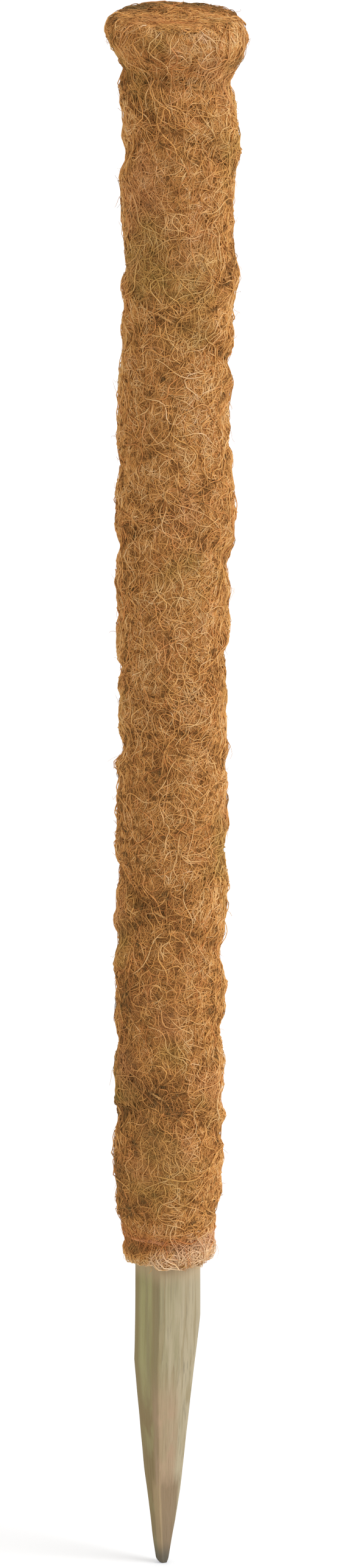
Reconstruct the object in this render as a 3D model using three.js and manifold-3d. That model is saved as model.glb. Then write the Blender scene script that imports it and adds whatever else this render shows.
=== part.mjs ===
// A moss pole: a hewn square stake rolled in coconut fibre and bound with two crossing threads.
// Millimetres, +Z up. The origin is the tip of the stake, and the front of the pole faces -Y.

import * as THREE from 'three';
import { mergeVertices } from 'three/addons/utils/BufferGeometryUtils.js';
import Module from 'manifold-3d';

const wasm = await Module();
wasm.setup();

// Lengths along the pole
const BARE_LENGTH = 120; // tip of the stake to the hem of the coir
const COIR_LENGTH = 480; // hem to lip
const STAKE_END_DEPTH = 12; // end of the stake below the lip
const CLEARANCE = 0.3; // between pieces that bear on each other

// Stake
const STAKE_SIDE = 18.2;
const STAKE_TURN = THREE.MathUtils.degToRad(31.2); // where the right front face looks, from the front
const SECOND_HEWING = 34.5; // height where the blunt last strokes begin

// Long strokes, one a face: which face, the height where the stroke begins and its reach at the tip.
// The right side is cut deeper than the left, so the point lies a little to the left of the axis.
const LONG_STROKES = [
  { quarter: 0, rise: 100, tipReach: 2.2 },
  { quarter: 1, rise: 98, tipReach: 1.9 },
  { quarter: 2, rise: 80, tipReach: 3.4 },
  { quarter: 3, rise: 80, tipReach: 3.6 },
];
// Last strokes, on faces and arrises alike: where they look, in quarter turns, and their reach at the tip
const LAST_STROKES = [
  { quarter: 0, tipReach: 1.1 },
  { quarter: 1, tipReach: 0.8 },
  { quarter: 2, tipReach: 2.25 },
  { quarter: 3, tipReach: 2.6 },
  { quarter: 3.5, tipReach: 2.1 },
  { quarter: 0.5, tipReach: 1 },
];

// Coir
const WRAP_COVER = 2.75; // first layer over the arris of the stake
const WRAP_LIFT = 32; // hem to the lower edge of the first layer
const MAT_WALL = 4.4; // outer mat over the first layer
const HEM_WALL = 4.2; // outer mat over the arris of the stake at the hem
const HEM_TAPER = 40; // hem to where the mat has its full thickness
const HEM_ROUND = 1.6; // the hem's edge is drawn in by this
const HEM_LIP = 4; // hem to the fullest ring below its tie
const SHOULDER_SWELL = 1.1; // the upper mat is this much fuller
const SHOULDER_RISE = 440; // hem to the full shoulder
const NECK_DROP = 21.6; // lip to the neck tie
const NECK_DRAW = 1.5; // the neck is drawn in by this from the shoulder
const FLARE_SWELL = 5.8; // the lip stands out by this from the body
const FLARE_DROP = 6.5; // lip to the widest ring of the flare
const LIP_DRAW = 2.6; // the lip's ridge is drawn in by this from the flare
const LIP_WIDTH = 3.2; // ridge to the hollow round the wad
const LIP_HOLLOW = 2.6; // depth of that hollow
const WAD_LAP = 2; // the wad laps the first layer by this
const WAD_EDGE = 8; // height of the wad's side
const MAT_COLUMNS = 14;

// Binding
const THREAD_DIAMETER = 1.2;
const THREAD_PITCH = 73.2;
const GROOVE_DEPTH = 1.9; // how far the threads draw the mat in
const GROOVE_REACH = 5; // half the width of a groove
const PILLOW_SWELL = 0.45; // how far the mat puffs up between the threads
const CROSSING_DROP = 113; // lip to a front crossing
const CROSSING_TURN = THREE.MathUtils.degToRad(-14); // where the front crossings lie
const WANDER_SWING = 5; // slow drift of the turns up and down
const WANDER_SAG = 4;
const TIE_TURNS = 2;
const TIE_GAP = 0.5; // between the turns of a tie
const TIE_DEPTH = 1.6; // how far the ties sink
const TIE_MARGIN = 0.9; // groove beside the turns of a tie
const HEM_TIE_LIFT = 10; // hem to the middle of its tie
const THREAD_SIDES = 6;

// Staples
const STAPLE_CROWN = 10;
const STAPLE_LEG = 7;
const STAPLE_WIRE = 1;
const STAPLE_STANDOFF = 1; // coir held under the crown
const STAPLE_INSET = 24; // from the ends of the first layer

// Derived heights and radii
const POLE_LENGTH = BARE_LENGTH + COIR_LENGTH;
const STAKE_LENGTH = POLE_LENGTH - STAKE_END_DEPTH;
const WRAP_BOTTOM = BARE_LENGTH + WRAP_LIFT;
const ARRIS_RADIUS = STAKE_SIDE / Math.SQRT2 + CLEARANCE;
const WRAP_RADIUS = ARRIS_RADIUS + WRAP_COVER;
const BODY_RADIUS = WRAP_RADIUS + CLEARANCE + MAT_WALL;
const HEM_RADIUS = ARRIS_RADIUS + HEM_WALL;
const WAD_RADIUS = WRAP_RADIUS + WAD_LAP;
const LIP_RADIUS = BODY_RADIUS + FLARE_SWELL - LIP_DRAW;
const THREAD_RADIUS = THREAD_DIAMETER / 2;
const TIE_PITCH = THREAD_DIAMETER + TIE_GAP;
const TIE_HEIGHT = TIE_TURNS * TIE_PITCH + THREAD_DIAMETER + 2 * TIE_MARGIN;
const NECK_TIE_HEIGHT = POLE_LENGTH - NECK_DROP;
const HEM_TIE_HEIGHT = BARE_LENGTH + HEM_TIE_LIFT;
const ROUND_STEPS = 2 * MAT_COLUMNS; // steps in one turn of a thread and sides of a bore
const STEP_TURN = (2 * Math.PI) / ROUND_STEPS;
const MAT_ROWS = Math.round((COIR_LENGTH * ROUND_STEPS) / THREAD_PITCH);
const ROW_HEIGHT = COIR_LENGTH / MAT_ROWS;
const CROSSING_ROW = Math.round(CROSSING_DROP / ROW_HEIGHT);

const COIR = { color: 0xa57341, roughness: 0.95, metalness: 0 };
const WOOD = { color: 0xa79a74, roughness: 0.85, metalness: 0 };
const THREAD = { color: 0x8a6136, roughness: 0.8, metalness: 0 };
const STEEL = { color: 0xb4b4b2, roughness: 0.4, metalness: 1 };

// A point at a turn from the front towards +X, a radius from the axis and a height
function onPole(turn, radius, height) {
  return new THREE.Vector3(radius * Math.sin(turn), -radius * Math.cos(turn), height);
}

// A closed geometry as a solid that can be cut
function solidOf(geometry) {
  const bare = geometry.clone();
  bare.deleteAttribute('normal');
  bare.deleteAttribute('uv');
  const merged = mergeVertices(bare);
  const vertProperties = Float32Array.from(merged.attributes.position.array);
  const triVerts = Uint32Array.from(merged.index.array);
  return new wasm.Manifold(new wasm.Mesh({ numProp: 3, vertProperties, triVerts }));
}

function geometryFrom(positions, triangles) {
  const geometry = new THREE.BufferGeometry();
  geometry.setAttribute('position', new THREE.Float32BufferAttribute(positions, 3));
  geometry.setIndex(triangles);
  geometry.computeVertexNormals();
  return geometry;
}

function geometryOf(solid) {
  const mesh = solid.getMesh();
  return geometryFrom(Array.from(mesh.vertProperties), Array.from(mesh.triVerts));
}

function cut(geometry, cutters) {
  const solid = cutters.reduce((left, cutter) => left.subtract(solidOf(cutter)), solidOf(geometry));
  return geometryOf(solid);
}

function piece(name, geometry, finish) {
  const mesh = new THREE.Mesh(geometry, new THREE.MeshStandardMaterial(finish));
  mesh.name = name;
  return mesh;
}

// A solid of revolution from [radius, height] corners, the first and last on the axis
function turned(corners) {
  const profile = corners.map(([radius, height]) => new THREE.Vector2(radius, height));
  const geometry = new THREE.LatheGeometry(profile, ROUND_STEPS);
  geometry.rotateX(Math.PI / 2);
  geometry.rotateZ(CROSSING_TURN);
  return geometry;
}

function cylinder(radius, bottom, top) {
  return turned([[0, bottom], [radius, bottom], [radius, top], [0, top]]);
}

// A square column round the axis that follows the faces of the stake
function stakeColumn(side, bottom, top) {
  const geometry = new THREE.BoxGeometry(side, side, top - bottom);
  geometry.translate(0, 0, (bottom + top) / 2);
  geometry.rotateZ(STAKE_TURN);
  return geometry;
}

// Reach of the long strokes from the axis, on one face at one height
function strokeReach({ rise, tipReach }, height) {
  return THREE.MathUtils.lerp(tipReach, STAKE_SIDE / 2, Math.min(height / rise, 1));
}

// Reach of the hewn section towards any quarter turn: a face's own, or that of the arris between two
function hewnReach(quarter, height) {
  const face = Math.floor(quarter);
  const angle = ((quarter - face) * Math.PI) / 2;
  const first = strokeReach(LONG_STROKES[face], height);
  const second = strokeReach(LONG_STROKES[(face + 1) % LONG_STROKES.length], height);
  return first * Math.cos(angle) + second * Math.sin(angle);
}

// The block that a stroke takes off: its inner face leans from tipReach out to reach at the height rise
function strokeBlock(quarter, rise, reach, tipReach) {
  const size = 2 * rise + 2 * STAKE_SIDE;
  const geometry = new THREE.BoxGeometry(size, size, size);
  geometry.translate(size / 2, 0, 0);
  geometry.rotateY(Math.atan2(reach - tipReach, rise));
  geometry.translate(tipReach, 0, 0);
  geometry.rotateZ(STAKE_TURN + ((quarter - 1) * Math.PI) / 2);
  return geometry;
}

// Box round a staple's crown or leg: across the face, from one reach to another, and along the pole
function stapleBox(seat, across, middle, inner, outer, tall) {
  const geometry = new THREE.BoxGeometry(across, outer - inner, tall);
  geometry.translate(middle, -(inner + outer) / 2, seat.height);
  geometry.rotateZ(seat.turn);
  return geometry;
}

const STAPLE_REACH = STAKE_SIDE / 2 + STAPLE_STANDOFF + STAPLE_WIRE;
const STAPLE_TOP = STAKE_LENGTH - STAPLE_INSET;
const STAPLE_BOTTOM = WRAP_BOTTOM + STAPLE_INSET;
const STAPLE_SEATS = [
  { name: 'staple_top_front', height: STAPLE_TOP, turn: STAKE_TURN },
  { name: 'staple_top_back', height: STAPLE_TOP, turn: STAKE_TURN + Math.PI },
  { name: 'staple_bottom_front', height: STAPLE_BOTTOM, turn: STAKE_TURN },
  { name: 'staple_bottom_back', height: STAPLE_BOTTOM, turn: STAKE_TURN + Math.PI },
];

// Holes in the stake for the two legs of a staple
function legHoles(seat) {
  const wide = STAPLE_WIRE + 2 * CLEARANCE;
  const middle = (STAPLE_CROWN - STAPLE_WIRE) / 2;
  const inner = STAPLE_REACH - STAPLE_LEG - CLEARANCE;
  return [-middle, middle].map((side) => stapleBox(seat, wide, side, inner, STAKE_SIDE, wide));
}

// Pocket in the first layer that a staple is pressed into
function staplePocket(seat) {
  const gap = 2 * CLEARANCE;
  return stapleBox(seat, STAPLE_CROWN + gap, 0, 0, STAPLE_REACH + CLEARANCE, STAPLE_WIRE + gap);
}

function makeStaple(seat) {
  const half = STAPLE_CROWN / 2;
  const outline = new THREE.Shape();
  outline.moveTo(-half, 0);
  outline.lineTo(-half, -STAPLE_LEG);
  outline.lineTo(STAPLE_WIRE - half, -STAPLE_LEG);
  outline.lineTo(STAPLE_WIRE - half, -STAPLE_WIRE);
  outline.lineTo(half - STAPLE_WIRE, -STAPLE_WIRE);
  outline.lineTo(half - STAPLE_WIRE, -STAPLE_LEG);
  outline.lineTo(half, -STAPLE_LEG);
  outline.lineTo(half, 0);
  const geometry = new THREE.ExtrudeGeometry(outline, { depth: STAPLE_WIRE, bevelEnabled: false });
  geometry.translate(0, STAPLE_REACH, seat.height - STAPLE_WIRE / 2);
  geometry.rotateZ(seat.turn + Math.PI);
  return piece(seat.name, geometry, STEEL);
}

function makeStake() {
  const longBlocks = LONG_STROKES.map((stroke) =>
    strokeBlock(stroke.quarter, stroke.rise, STAKE_SIDE / 2, stroke.tipReach),
  );
  const lastBlocks = LAST_STROKES.map(({ quarter, tipReach }) =>
    strokeBlock(quarter, SECOND_HEWING, hewnReach(quarter, SECOND_HEWING), tipReach),
  );
  const holes = STAPLE_SEATS.flatMap(legHoles);
  const column = stakeColumn(STAKE_SIDE, 0, STAKE_LENGTH);
  return piece('stake', cut(column, [...longBlocks, ...lastBlocks, ...holes]), WOOD);
}

function makeInnerWrap() {
  const bore = stakeColumn(STAKE_SIDE + 2 * CLEARANCE, 0, POLE_LENGTH);
  const sleeve = cylinder(WRAP_RADIUS, WRAP_BOTTOM, STAKE_LENGTH);
  return piece('coir_inner_wrap', cut(sleeve, [bore, ...STAPLE_SEATS.map(staplePocket)]), COIR);
}

// Radius of the mat between the threads: smooth steps through its stations from hem to lip
const STATIONS = [
  { height: BARE_LENGTH, radius: HEM_RADIUS - HEM_ROUND },
  { height: BARE_LENGTH + HEM_LIP, radius: HEM_RADIUS },
  { height: HEM_TIE_HEIGHT, radius: HEM_RADIUS },
  { height: BARE_LENGTH + HEM_TAPER, radius: BODY_RADIUS },
  { height: BARE_LENGTH + SHOULDER_RISE / 2, radius: BODY_RADIUS },
  { height: BARE_LENGTH + SHOULDER_RISE, radius: BODY_RADIUS + SHOULDER_SWELL },
  { height: NECK_TIE_HEIGHT, radius: BODY_RADIUS + SHOULDER_SWELL - NECK_DRAW },
  { height: POLE_LENGTH - FLARE_DROP, radius: BODY_RADIUS + FLARE_SWELL },
  { height: POLE_LENGTH, radius: LIP_RADIUS },
];

function matRadius(height) {
  const above = Math.max(1, STATIONS.findIndex((station) => station.height >= height));
  const low = STATIONS[above - 1];
  const high = STATIONS[above];
  const share = THREE.MathUtils.smoothstep(height, low.height, high.height);
  return THREE.MathUtils.lerp(low.radius, high.radius, share);
}

// Height of a row of the mat, counted from the lip. The turns drift slowly up and down, but not at the ends.
function rowHeight(row) {
  const share = row / MAT_ROWS;
  const drift = WANDER_SWING * Math.sin(2 * Math.PI * share) - WANDER_SAG * Math.sin(Math.PI * share);
  return POLE_LENGTH - row * ROW_HEIGHT + drift;
}

// Rows of the mat that the threads run over, clear of the two ties
function isThreaded(row) {
  const height = rowHeight(row);
  const room = TIE_HEIGHT / 2 + THREAD_DIAMETER + CLEARANCE;
  return height < NECK_TIE_HEIGHT - room && height > HEM_TIE_HEIGHT + room;
}

// Steps round the mat from the nearer thread. The threads move one step a row, one each way.
function stepsFromThread(row, step) {
  const fromCrossing = row - CROSSING_ROW;
  const apart = [step - fromCrossing, step + fromCrossing].map((steps) => {
    const round = THREE.MathUtils.euclideanModulo(steps, ROUND_STEPS);
    return Math.min(round, ROUND_STEPS - round);
  });
  return Math.min(...apart);
}

// Radius of the mat at a corner of its net: drawn in along the threads, puffed up between them
function netRadius(row, step) {
  const base = matRadius(rowHeight(row));
  if (!isThreaded(row)) {
    return base;
  }
  const across = base * STEP_TURN;
  const lineGap = (2 * across * ROW_HEIGHT) / Math.hypot(across, ROW_HEIGHT);
  const lines = stepsFromThread(row, step) / 2;
  const groove = Math.max(0, 1 - (lines * lineGap) / GROOVE_REACH);
  const pillow = Math.sin((Math.PI * lines) / (MAT_COLUMNS / 2));
  return base - GROOVE_DEPTH * groove + PILLOW_SWELL * pillow;
}

// The mat's outer skin is a net of diamonds whose edges run along the threads, closed over at both ends
function matSkin() {
  const rings = [];
  for (let row = 0; row <= MAT_ROWS; row += 1) {
    const offset = THREE.MathUtils.euclideanModulo(row - CROSSING_ROW, 2);
    const steps = Array.from({ length: MAT_COLUMNS }, (_, column) => 2 * column + offset);
    rings.push(
      steps.map((step) =>
        onPole(CROSSING_TURN + step * STEP_TURN, netRadius(row, step), rowHeight(row)),
      ),
    );
  }
  const hollow = rings[0].map((point) => {
    const inward = (LIP_RADIUS - LIP_WIDTH) / LIP_RADIUS;
    return new THREE.Vector3(point.x * inward, point.y * inward, POLE_LENGTH - LIP_HOLLOW);
  });
  rings.unshift(hollow);
  const triangles = [];
  rings.slice(1).forEach((ring, index) => {
    const upper = index * MAT_COLUMNS;
    const lower = upper + MAT_COLUMNS;
    const row = index - 1;
    const leads = row >= 0 && THREE.MathUtils.euclideanModulo(row - CROSSING_ROW, 2) === 1;
    ring.forEach((_, column) => {
      const next = (column + 1) % MAT_COLUMNS;
      if (leads) {
        triangles.push(upper + column, lower + column, lower + next);
        triangles.push(upper + column, lower + next, upper + next);
      } else {
        triangles.push(upper + column, lower + column, upper + next);
        triangles.push(upper + next, lower + column, lower + next);
      }
    });
  });
  const points = rings.flat();
  const last = points.length - MAT_COLUMNS;
  const top = points.length;
  const bottom = top + 1;
  points.push(onPole(0, 0, POLE_LENGTH - LIP_HOLLOW), onPole(0, 0, BARE_LENGTH));
  for (let column = 0; column < MAT_COLUMNS; column += 1) {
    const next = (column + 1) % MAT_COLUMNS;
    triangles.push(top, column, next);
    triangles.push(bottom, last + next, last + column);
  }
  return geometryFrom(points.flatMap((point) => point.toArray()), triangles);
}

// Floor of a tie's groove
function tieFloor(height) {
  return matRadius(height) - TIE_DEPTH;
}

// The ring that a tie's groove takes out of the mat
function tieGroove(height) {
  const low = height - TIE_HEIGHT / 2;
  const high = height + TIE_HEIGHT / 2;
  const floor = tieFloor(height);
  const outside = BODY_RADIUS + 2 * FLARE_SWELL;
  return turned([[floor, low], [outside, low], [outside, high], [floor, high], [floor, low]]);
}

function makeOuterMat() {
  const hemHole = stakeColumn(STAKE_SIDE + 2 * CLEARANCE, 0, POLE_LENGTH - STAKE_END_DEPTH);
  const bore = cylinder(WRAP_RADIUS + CLEARANCE, WRAP_BOTTOM - CLEARANCE, STAKE_LENGTH + CLEARANCE);
  const wadSeat = cylinder(WAD_RADIUS + CLEARANCE, STAKE_LENGTH, POLE_LENGTH + STAKE_END_DEPTH);
  const grooves = [NECK_TIE_HEIGHT, HEM_TIE_HEIGHT].map(tieGroove);
  return piece('coir_outer_mat', cut(matSkin(), [hemHole, bore, wadSeat, ...grooves]), COIR);
}

// A low cushion of coir: straight side, rounded shoulder and a mound level with the lip
function makeWad() {
  const bottom = STAKE_LENGTH + CLEARANCE;
  const shoulder = bottom + WAD_EDGE;
  const rise = POLE_LENGTH - shoulder;
  const corners = [[0, bottom], [WAD_RADIUS, bottom]];
  const domeSteps = 5;
  for (let index = 0; index <= domeSteps; index += 1) {
    const angle = (index / domeSteps) * (Math.PI / 2);
    corners.push([WAD_RADIUS * Math.cos(angle), shoulder + rise * Math.sin(angle)]);
  }
  corners[corners.length - 1][0] = 0;
  return piece('crown_wad', turned(corners), COIR);
}

// A closed tube through points, with one flat of its section towards the pole's axis
function tube(points, radius) {
  const rings = points.map((point, index) => {
    const before = points[Math.max(index - 1, 0)];
    const after = points[Math.min(index + 1, points.length - 1)];
    const along = after.clone().sub(before).normalize();
    const out = new THREE.Vector3(point.x, point.y, 0).normalize();
    out.addScaledVector(along, -out.dot(along)).normalize();
    const side = along.clone().cross(out);
    return Array.from({ length: THREAD_SIDES }, (_, corner) => {
      const angle = ((corner + 0.5) / THREAD_SIDES) * 2 * Math.PI;
      const rim = point.clone().addScaledVector(out, radius * Math.cos(angle));
      return rim.addScaledVector(side, radius * Math.sin(angle));
    });
  });
  const triangles = [];
  rings.slice(1).forEach((ring, index) => {
    ring.forEach((_, corner) => {
      const next = (corner + 1) % THREAD_SIDES;
      const near = index * THREAD_SIDES;
      const far = near + THREAD_SIDES;
      triangles.push(near + corner, near + next, far + corner);
      triangles.push(near + next, far + next, far + corner);
    });
  });
  const last = (rings.length - 1) * THREAD_SIDES;
  for (let corner = 2; corner < THREAD_SIDES; corner += 1) {
    triangles.push(0, corner, corner - 1);
    triangles.push(last, last + corner - 1, last + corner);
  }
  return geometryFrom(rings.flat().flatMap((point) => point.toArray()), triangles);
}

// Least gap between parts of one winding that are half a turn or more apart, measured between its steps
function leastGap(points, radius) {
  const parts = 4;
  const fine = points.slice(1).flatMap((point, index) =>
    Array.from({ length: parts }, (_, part) => points[index].clone().lerp(point, part / parts)),
  );
  const apart = (ROUND_STEPS / 2) * parts;
  let least = Infinity;
  fine.forEach((point, index) => {
    for (let other = index + apart; other < fine.length; other += 1) {
      least = Math.min(least, point.distanceTo(fine[other]));
    }
  });
  return least - 2 * radius;
}

function winding(name, points) {
  console.log(`${name}: least gap to itself ${leastGap(points, THREAD_RADIUS).toFixed(2)} mm`);
  return piece(name, tube(points, THREAD_RADIUS), THREAD);
}

// A thread lies in its groove from tie to tie. The outer one is lifted over the other where they cross.
function makeThread(name, hand, isOuter) {
  const points = [];
  for (let row = 0; row <= MAT_ROWS; row += 1) {
    if (isThreaded(row)) {
      const fromCrossing = row - CROSSING_ROW;
      const step = -hand * fromCrossing;
      const crosses = THREE.MathUtils.euclideanModulo(fromCrossing, MAT_COLUMNS) === 0;
      const lift = isOuter && crosses ? THREAD_DIAMETER + CLEARANCE : 0;
      const radius = netRadius(row, step) + CLEARANCE + THREAD_RADIUS + lift;
      points.push(onPole(CROSSING_TURN + step * STEP_TURN, radius, rowHeight(row)));
    }
  }
  return winding(name, points);
}

// A tie winds round its groove at an even climb
function makeTie(name, height) {
  const radius = tieFloor(height) / Math.cos(STEP_TURN / 2) + CLEARANCE + THREAD_RADIUS;
  const count = TIE_TURNS * ROUND_STEPS;
  const points = Array.from({ length: count + 1 }, (_, index) => {
    const climb = (index / count - 0.5) * TIE_TURNS * TIE_PITCH;
    return onPole(CROSSING_TURN + index * STEP_TURN, radius, height + climb);
  });
  return winding(name, points);
}

const mossPole = new THREE.Group();
mossPole.add(
  makeStake(),
  makeInnerWrap(),
  makeOuterMat(),
  makeWad(),
  makeThread('binding_thread_right_hand', 1, false),
  makeThread('binding_thread_left_hand', -1, true),
  makeTie('neck_tie', NECK_TIE_HEIGHT),
  makeTie('hem_tie', HEM_TIE_HEIGHT),
  ...STAPLE_SEATS.map(makeStaple),
);

export default mossPole;
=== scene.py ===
"""A moss pole: matted coconut fibre bound round a hewn wooden stake, dressed over its solid model.

The coir is a felted ground with thousands of curled fibres laid on it, the threads are two-ply twists that
draw the coir in, and the stake is a hewn section carried from its point upwards.
"""

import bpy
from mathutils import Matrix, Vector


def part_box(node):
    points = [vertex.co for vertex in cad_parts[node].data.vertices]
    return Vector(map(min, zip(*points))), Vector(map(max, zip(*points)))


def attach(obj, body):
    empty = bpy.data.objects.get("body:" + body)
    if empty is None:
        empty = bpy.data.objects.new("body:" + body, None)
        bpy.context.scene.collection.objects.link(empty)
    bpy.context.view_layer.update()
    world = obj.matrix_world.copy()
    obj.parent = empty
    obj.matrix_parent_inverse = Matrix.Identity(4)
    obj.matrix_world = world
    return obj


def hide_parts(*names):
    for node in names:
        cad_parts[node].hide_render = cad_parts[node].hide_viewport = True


bl_info = {
    "name": "Moss pole",
    "version": (1, 0, 0),
    "blender": (4, 5, 0),
    "location": "View3D > Sidebar > Moss pole",
    "description": "Dresses the solids of a moss pole with coir fibre, binding thread and hewn wood",
    "category": "Object",
}

from typing import NamedTuple

import bpy
import numpy as np
from bpy.props import FloatProperty, FloatVectorProperty, IntProperty, PointerProperty
from mathutils import Euler, Vector

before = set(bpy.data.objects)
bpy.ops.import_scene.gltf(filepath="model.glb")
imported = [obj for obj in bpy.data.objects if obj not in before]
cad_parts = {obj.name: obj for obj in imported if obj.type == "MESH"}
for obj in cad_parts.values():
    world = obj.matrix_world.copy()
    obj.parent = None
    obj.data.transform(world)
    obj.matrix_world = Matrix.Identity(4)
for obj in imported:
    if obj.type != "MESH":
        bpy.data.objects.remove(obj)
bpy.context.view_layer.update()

BODY = "root"
MM = 0.001
TURN = 2 * np.pi
QUARTER = TURN / 4
GOLDEN = (np.sqrt(5) - 1) / 2
TINY = 1e-12
FRAME_HEIGHT = 2576
STRAND_SIDES = 3
# Room between pieces that lie against each other
GAP = 0.3 * MM
# Seeds of what is left to chance
LUMP_SEED, PATCH_SEED, TOOL_SEED = 11, 3, 5
LAYER_SEED, FLARE_SEED, SEAM_SEED, CROWN_SEED = 29, 23, 17, 41

# Heights and radii that the solids give
MAT_LOW, MAT_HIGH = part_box("coir_outer_mat")
HEM, LIP = MAT_LOW.z, MAT_HIGH.z
FLARE_RADIUS = (MAT_HIGH.x - MAT_LOW.x) / 2
NECK_LOW, NECK_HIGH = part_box("neck_tie")
NECK = (NECK_LOW.z + NECK_HIGH.z) / 2
NECK_RADIUS = (NECK_HIGH.x - NECK_LOW.x) / 2
HEM_TIE_LOW, HEM_TIE_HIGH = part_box("hem_tie")
HEM_TIE = (HEM_TIE_LOW.z + HEM_TIE_HIGH.z) / 2
HEM_RADIUS = (HEM_TIE_HIGH.x - HEM_TIE_LOW.x) / 2
THREAD_LOW, THREAD_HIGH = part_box("binding_thread_right_hand")
WAD_LOW, WAD_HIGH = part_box("crown_wad")
WAD_RADIUS = (WAD_HIGH.x - WAD_LOW.x) / 2
STAKE_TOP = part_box("stake")[1].z
WRAP_LOW, WRAP_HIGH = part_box("coir_inner_wrap")
WRAP_RADIUS = (WRAP_HIGH.x - WRAP_LOW.x) / 2

# Swells and dents of the mat's sides, in mm: height, how far one stands out, and its reach up and down
RIGHT_SWELLS = (
    (560, 1.9, 12), (543, 1.2, 5), (517, -1.6, 6), (505, 2.4, 10), (474, -1.8, 7),
    (448, -2.2, 10), (413, 2.6, 11), (393, -0.9, 7), (354, -2.0, 8), (285, -1.2, 5),
    (246, -2.0, 8), (214, -2.6, 7), (185, -1.2, 4), (174, -1.0, 5), (130, 0.9, 5),
)
LEFT_SWELLS = (
    (572, 1.6, 6), (557, -2.6, 11), (512, -3.0, 10), (490, -1.5, 12), (450, 1.3, 10),
    (414, 1.2, 8), (386, 1.1, 10), (342, -1.4, 14), (324, -2.0, 6), (307, -1.2, 6),
    (273, -1.3, 6), (209.5, -2.2, 4.5), (180, -1.8, 4.5),
)
# Spots on the crown, in mm: the middle to the right and to the back, and the reach each way. The hollow is a
# dent in the shape; the others are painted on the fibres: shade with a red tint in the crease, shade at the
# left back and a highlight in the middle.
CROWN_HOLLOW = (-4, -8, 12, 6)
CROWN_SHADED_CREASE = (-2, -16.5, 11, 4.5)
CROWN_LEFT_BACK_SHADE = (-10, 9, 7, 6)
CROWN_MIDDLE_HIGHLIGHT = (0, -1, 9, 4)


def length(name, default, description):
    return FloatProperty(name=name, default=default, description=description, unit="LENGTH", precision=5)


def angle(name, degrees, description):
    return FloatProperty(name=name, default=np.radians(degrees), description=description, subtype="ANGLE")


def number(name, default, description, subtype="NONE"):
    return FloatProperty(name=name, default=default, description=description, subtype=subtype)


def count(name, default, description):
    return IntProperty(name=name, default=default, description=description, min=1)


def colour(name, default, description):
    return FloatVectorProperty(
        name=name, default=default, description=description, subtype="COLOR", size=3, min=0, max=1
    )


class MatSettings(bpy.types.PropertyGroup):
    """The coir mat: its shape between the threads and its felted ground"""

    body_radius: length("Body radius", 20.6 * MM, "Radius of the lower half, between the threads")
    shoulder_swell: length("Shoulder swell", 0.6 * MM, "How much fuller the upper half is")
    cover: length("Cover", 1.0 * MM, "Loose fibre over the felted ground")
    shoulder_rise: length("Shoulder rise", 440 * MM, "Hem to the full shoulder")
    hem_hang: length("Hem hang", 2.0 * MM, "How far fibre ends hang below the felt's edge")
    hem_round: length("Hem round", 0.6 * MM, "How far the hem's edge is drawn in")
    hem_lip: length("Hem lip", 4 * MM, "Hem to the fullest ring below its tie")
    hem_taper: length("Hem taper", 40 * MM, "Hem to where the mat has its full thickness")
    flare_drop: length("Flare drop", 7.3 * MM, "Lip to the widest ring of the flare")
    lip_draw: length("Lip draw", 4.9 * MM, "How far the rounded lip comes in from the flare")
    lip_sink: length("Lip sink", 0.9 * MM, "How far the felt of the lip lies under the crown's fibres")
    wad_sink: length("Wad sink", 0.9 * MM, "How far the felt of the wad lies under the crown's fibres")
    crown_rise: length("Crown rise", 0.5 * MM, "How far the crown's middle stands above its ridge")
    back_rise: length("Back rise", 0.95 * MM, "How much higher the back of the crown is than its front")
    head_lean: length("Head lean", 1.1 * MM, "How far the head stands to the left of the axis")
    neck_tilt: length(
        "Neck tilt", 2.6 * MM, "How much higher the neck's crease lies on the left than in the middle"
    )
    hollow_depth: length("Hollow depth", 1.0 * MM, "How deep the crown is dented in front of its middle")
    lump_height: length("Lump height", 0.5 * MM, "Height of the lumps in the felt")
    columns: count("Columns", 144, "Points round the mat")
    rows: count("Rows", 400, "Points from hem to lip")
    ground: colour("Ground", (0.54, 0.265, 0.085), "Felted dust and fibre between the strands")
    ground_dark: colour("Dark ground", (0.3, 0.135, 0.04), "Pits in the felt")


class FibreSettings(bpy.types.PropertyGroup):
    """The loose fibres that cover the mat and its crown"""

    fine_bands: count("Fine bands", 6, "Pieces that the fine fibres are split into, from hem to lip")
    fine_fibres: count("Fine fibres", 4300, "Fine fibres laid in each band, the lower layer")
    coarse_bands: count("Coarse bands", 3, "Pieces that the coarse strands are split into, from hem to lip")
    coarse_fibres: count("Coarse strands", 1900, "Coarse strands laid in each band, the upper layer")
    crown_fibres: count("Crown fibres", 3000, "Fibres laid over the crown")
    stray_fibres: count("Stray fibres", 1500, "Thin hairs that stand off the mat")
    seam_fibres: count("Seam fibres", 640, "Fibres that close the hem round the stake, from below")
    flare_fibres: count("Flare fibres", 800, "Fine fibres added on the wide flare, from neck to lip")
    points: count("Points", 9, "Points along a fine fibre")
    coarse_points: count("Coarse points", 13, "Points along a coarse strand")
    shortest: length("Shortest", 13 * MM, "Shortest fibre")
    longest: length("Longest", 34 * MM, "Longest fibre")
    thinnest: length("Thinnest", 0.1 * MM, "Radius of the thinnest fibre")
    thickest: length("Thickest", 0.2 * MM, "Radius of the thickest fine fibre")
    coarsest: length("Coarsest", 0.32 * MM, "Radius of the coarsest strand")
    # The darkest tone, for old fibre and for the deepest painted shade on the crown
    deep: colour("Deep fibre", (0.19, 0.122, 0.046), "Damp old fibre")
    dark: colour("Dark fibre", (0.36, 0.165, 0.048), "Old brown fibre")
    middle: colour("Middle fibre", (0.75, 0.39, 0.12), "Common golden fibre")
    light: colour("Light fibre", (0.87, 0.57, 0.265), "Pale fibre")
    # The palest tone, for bleached fibre ends and for the painted highlights on the hem and the lip
    bleached: colour("Bleached fibre", (0.93, 0.67, 0.43), "Fibre ends that the sun has bleached")
    warm: colour("Warm fibre", (0.7, 0.285, 0.09), "Reddish fibre")
    olive: colour("Olive fibre", (0.52, 0.36, 0.1), "Greenish patches in the mat")
    rosy: colour("Rosy fibre", (0.74, 0.36, 0.16), "Rosy patches in the mat")


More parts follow.
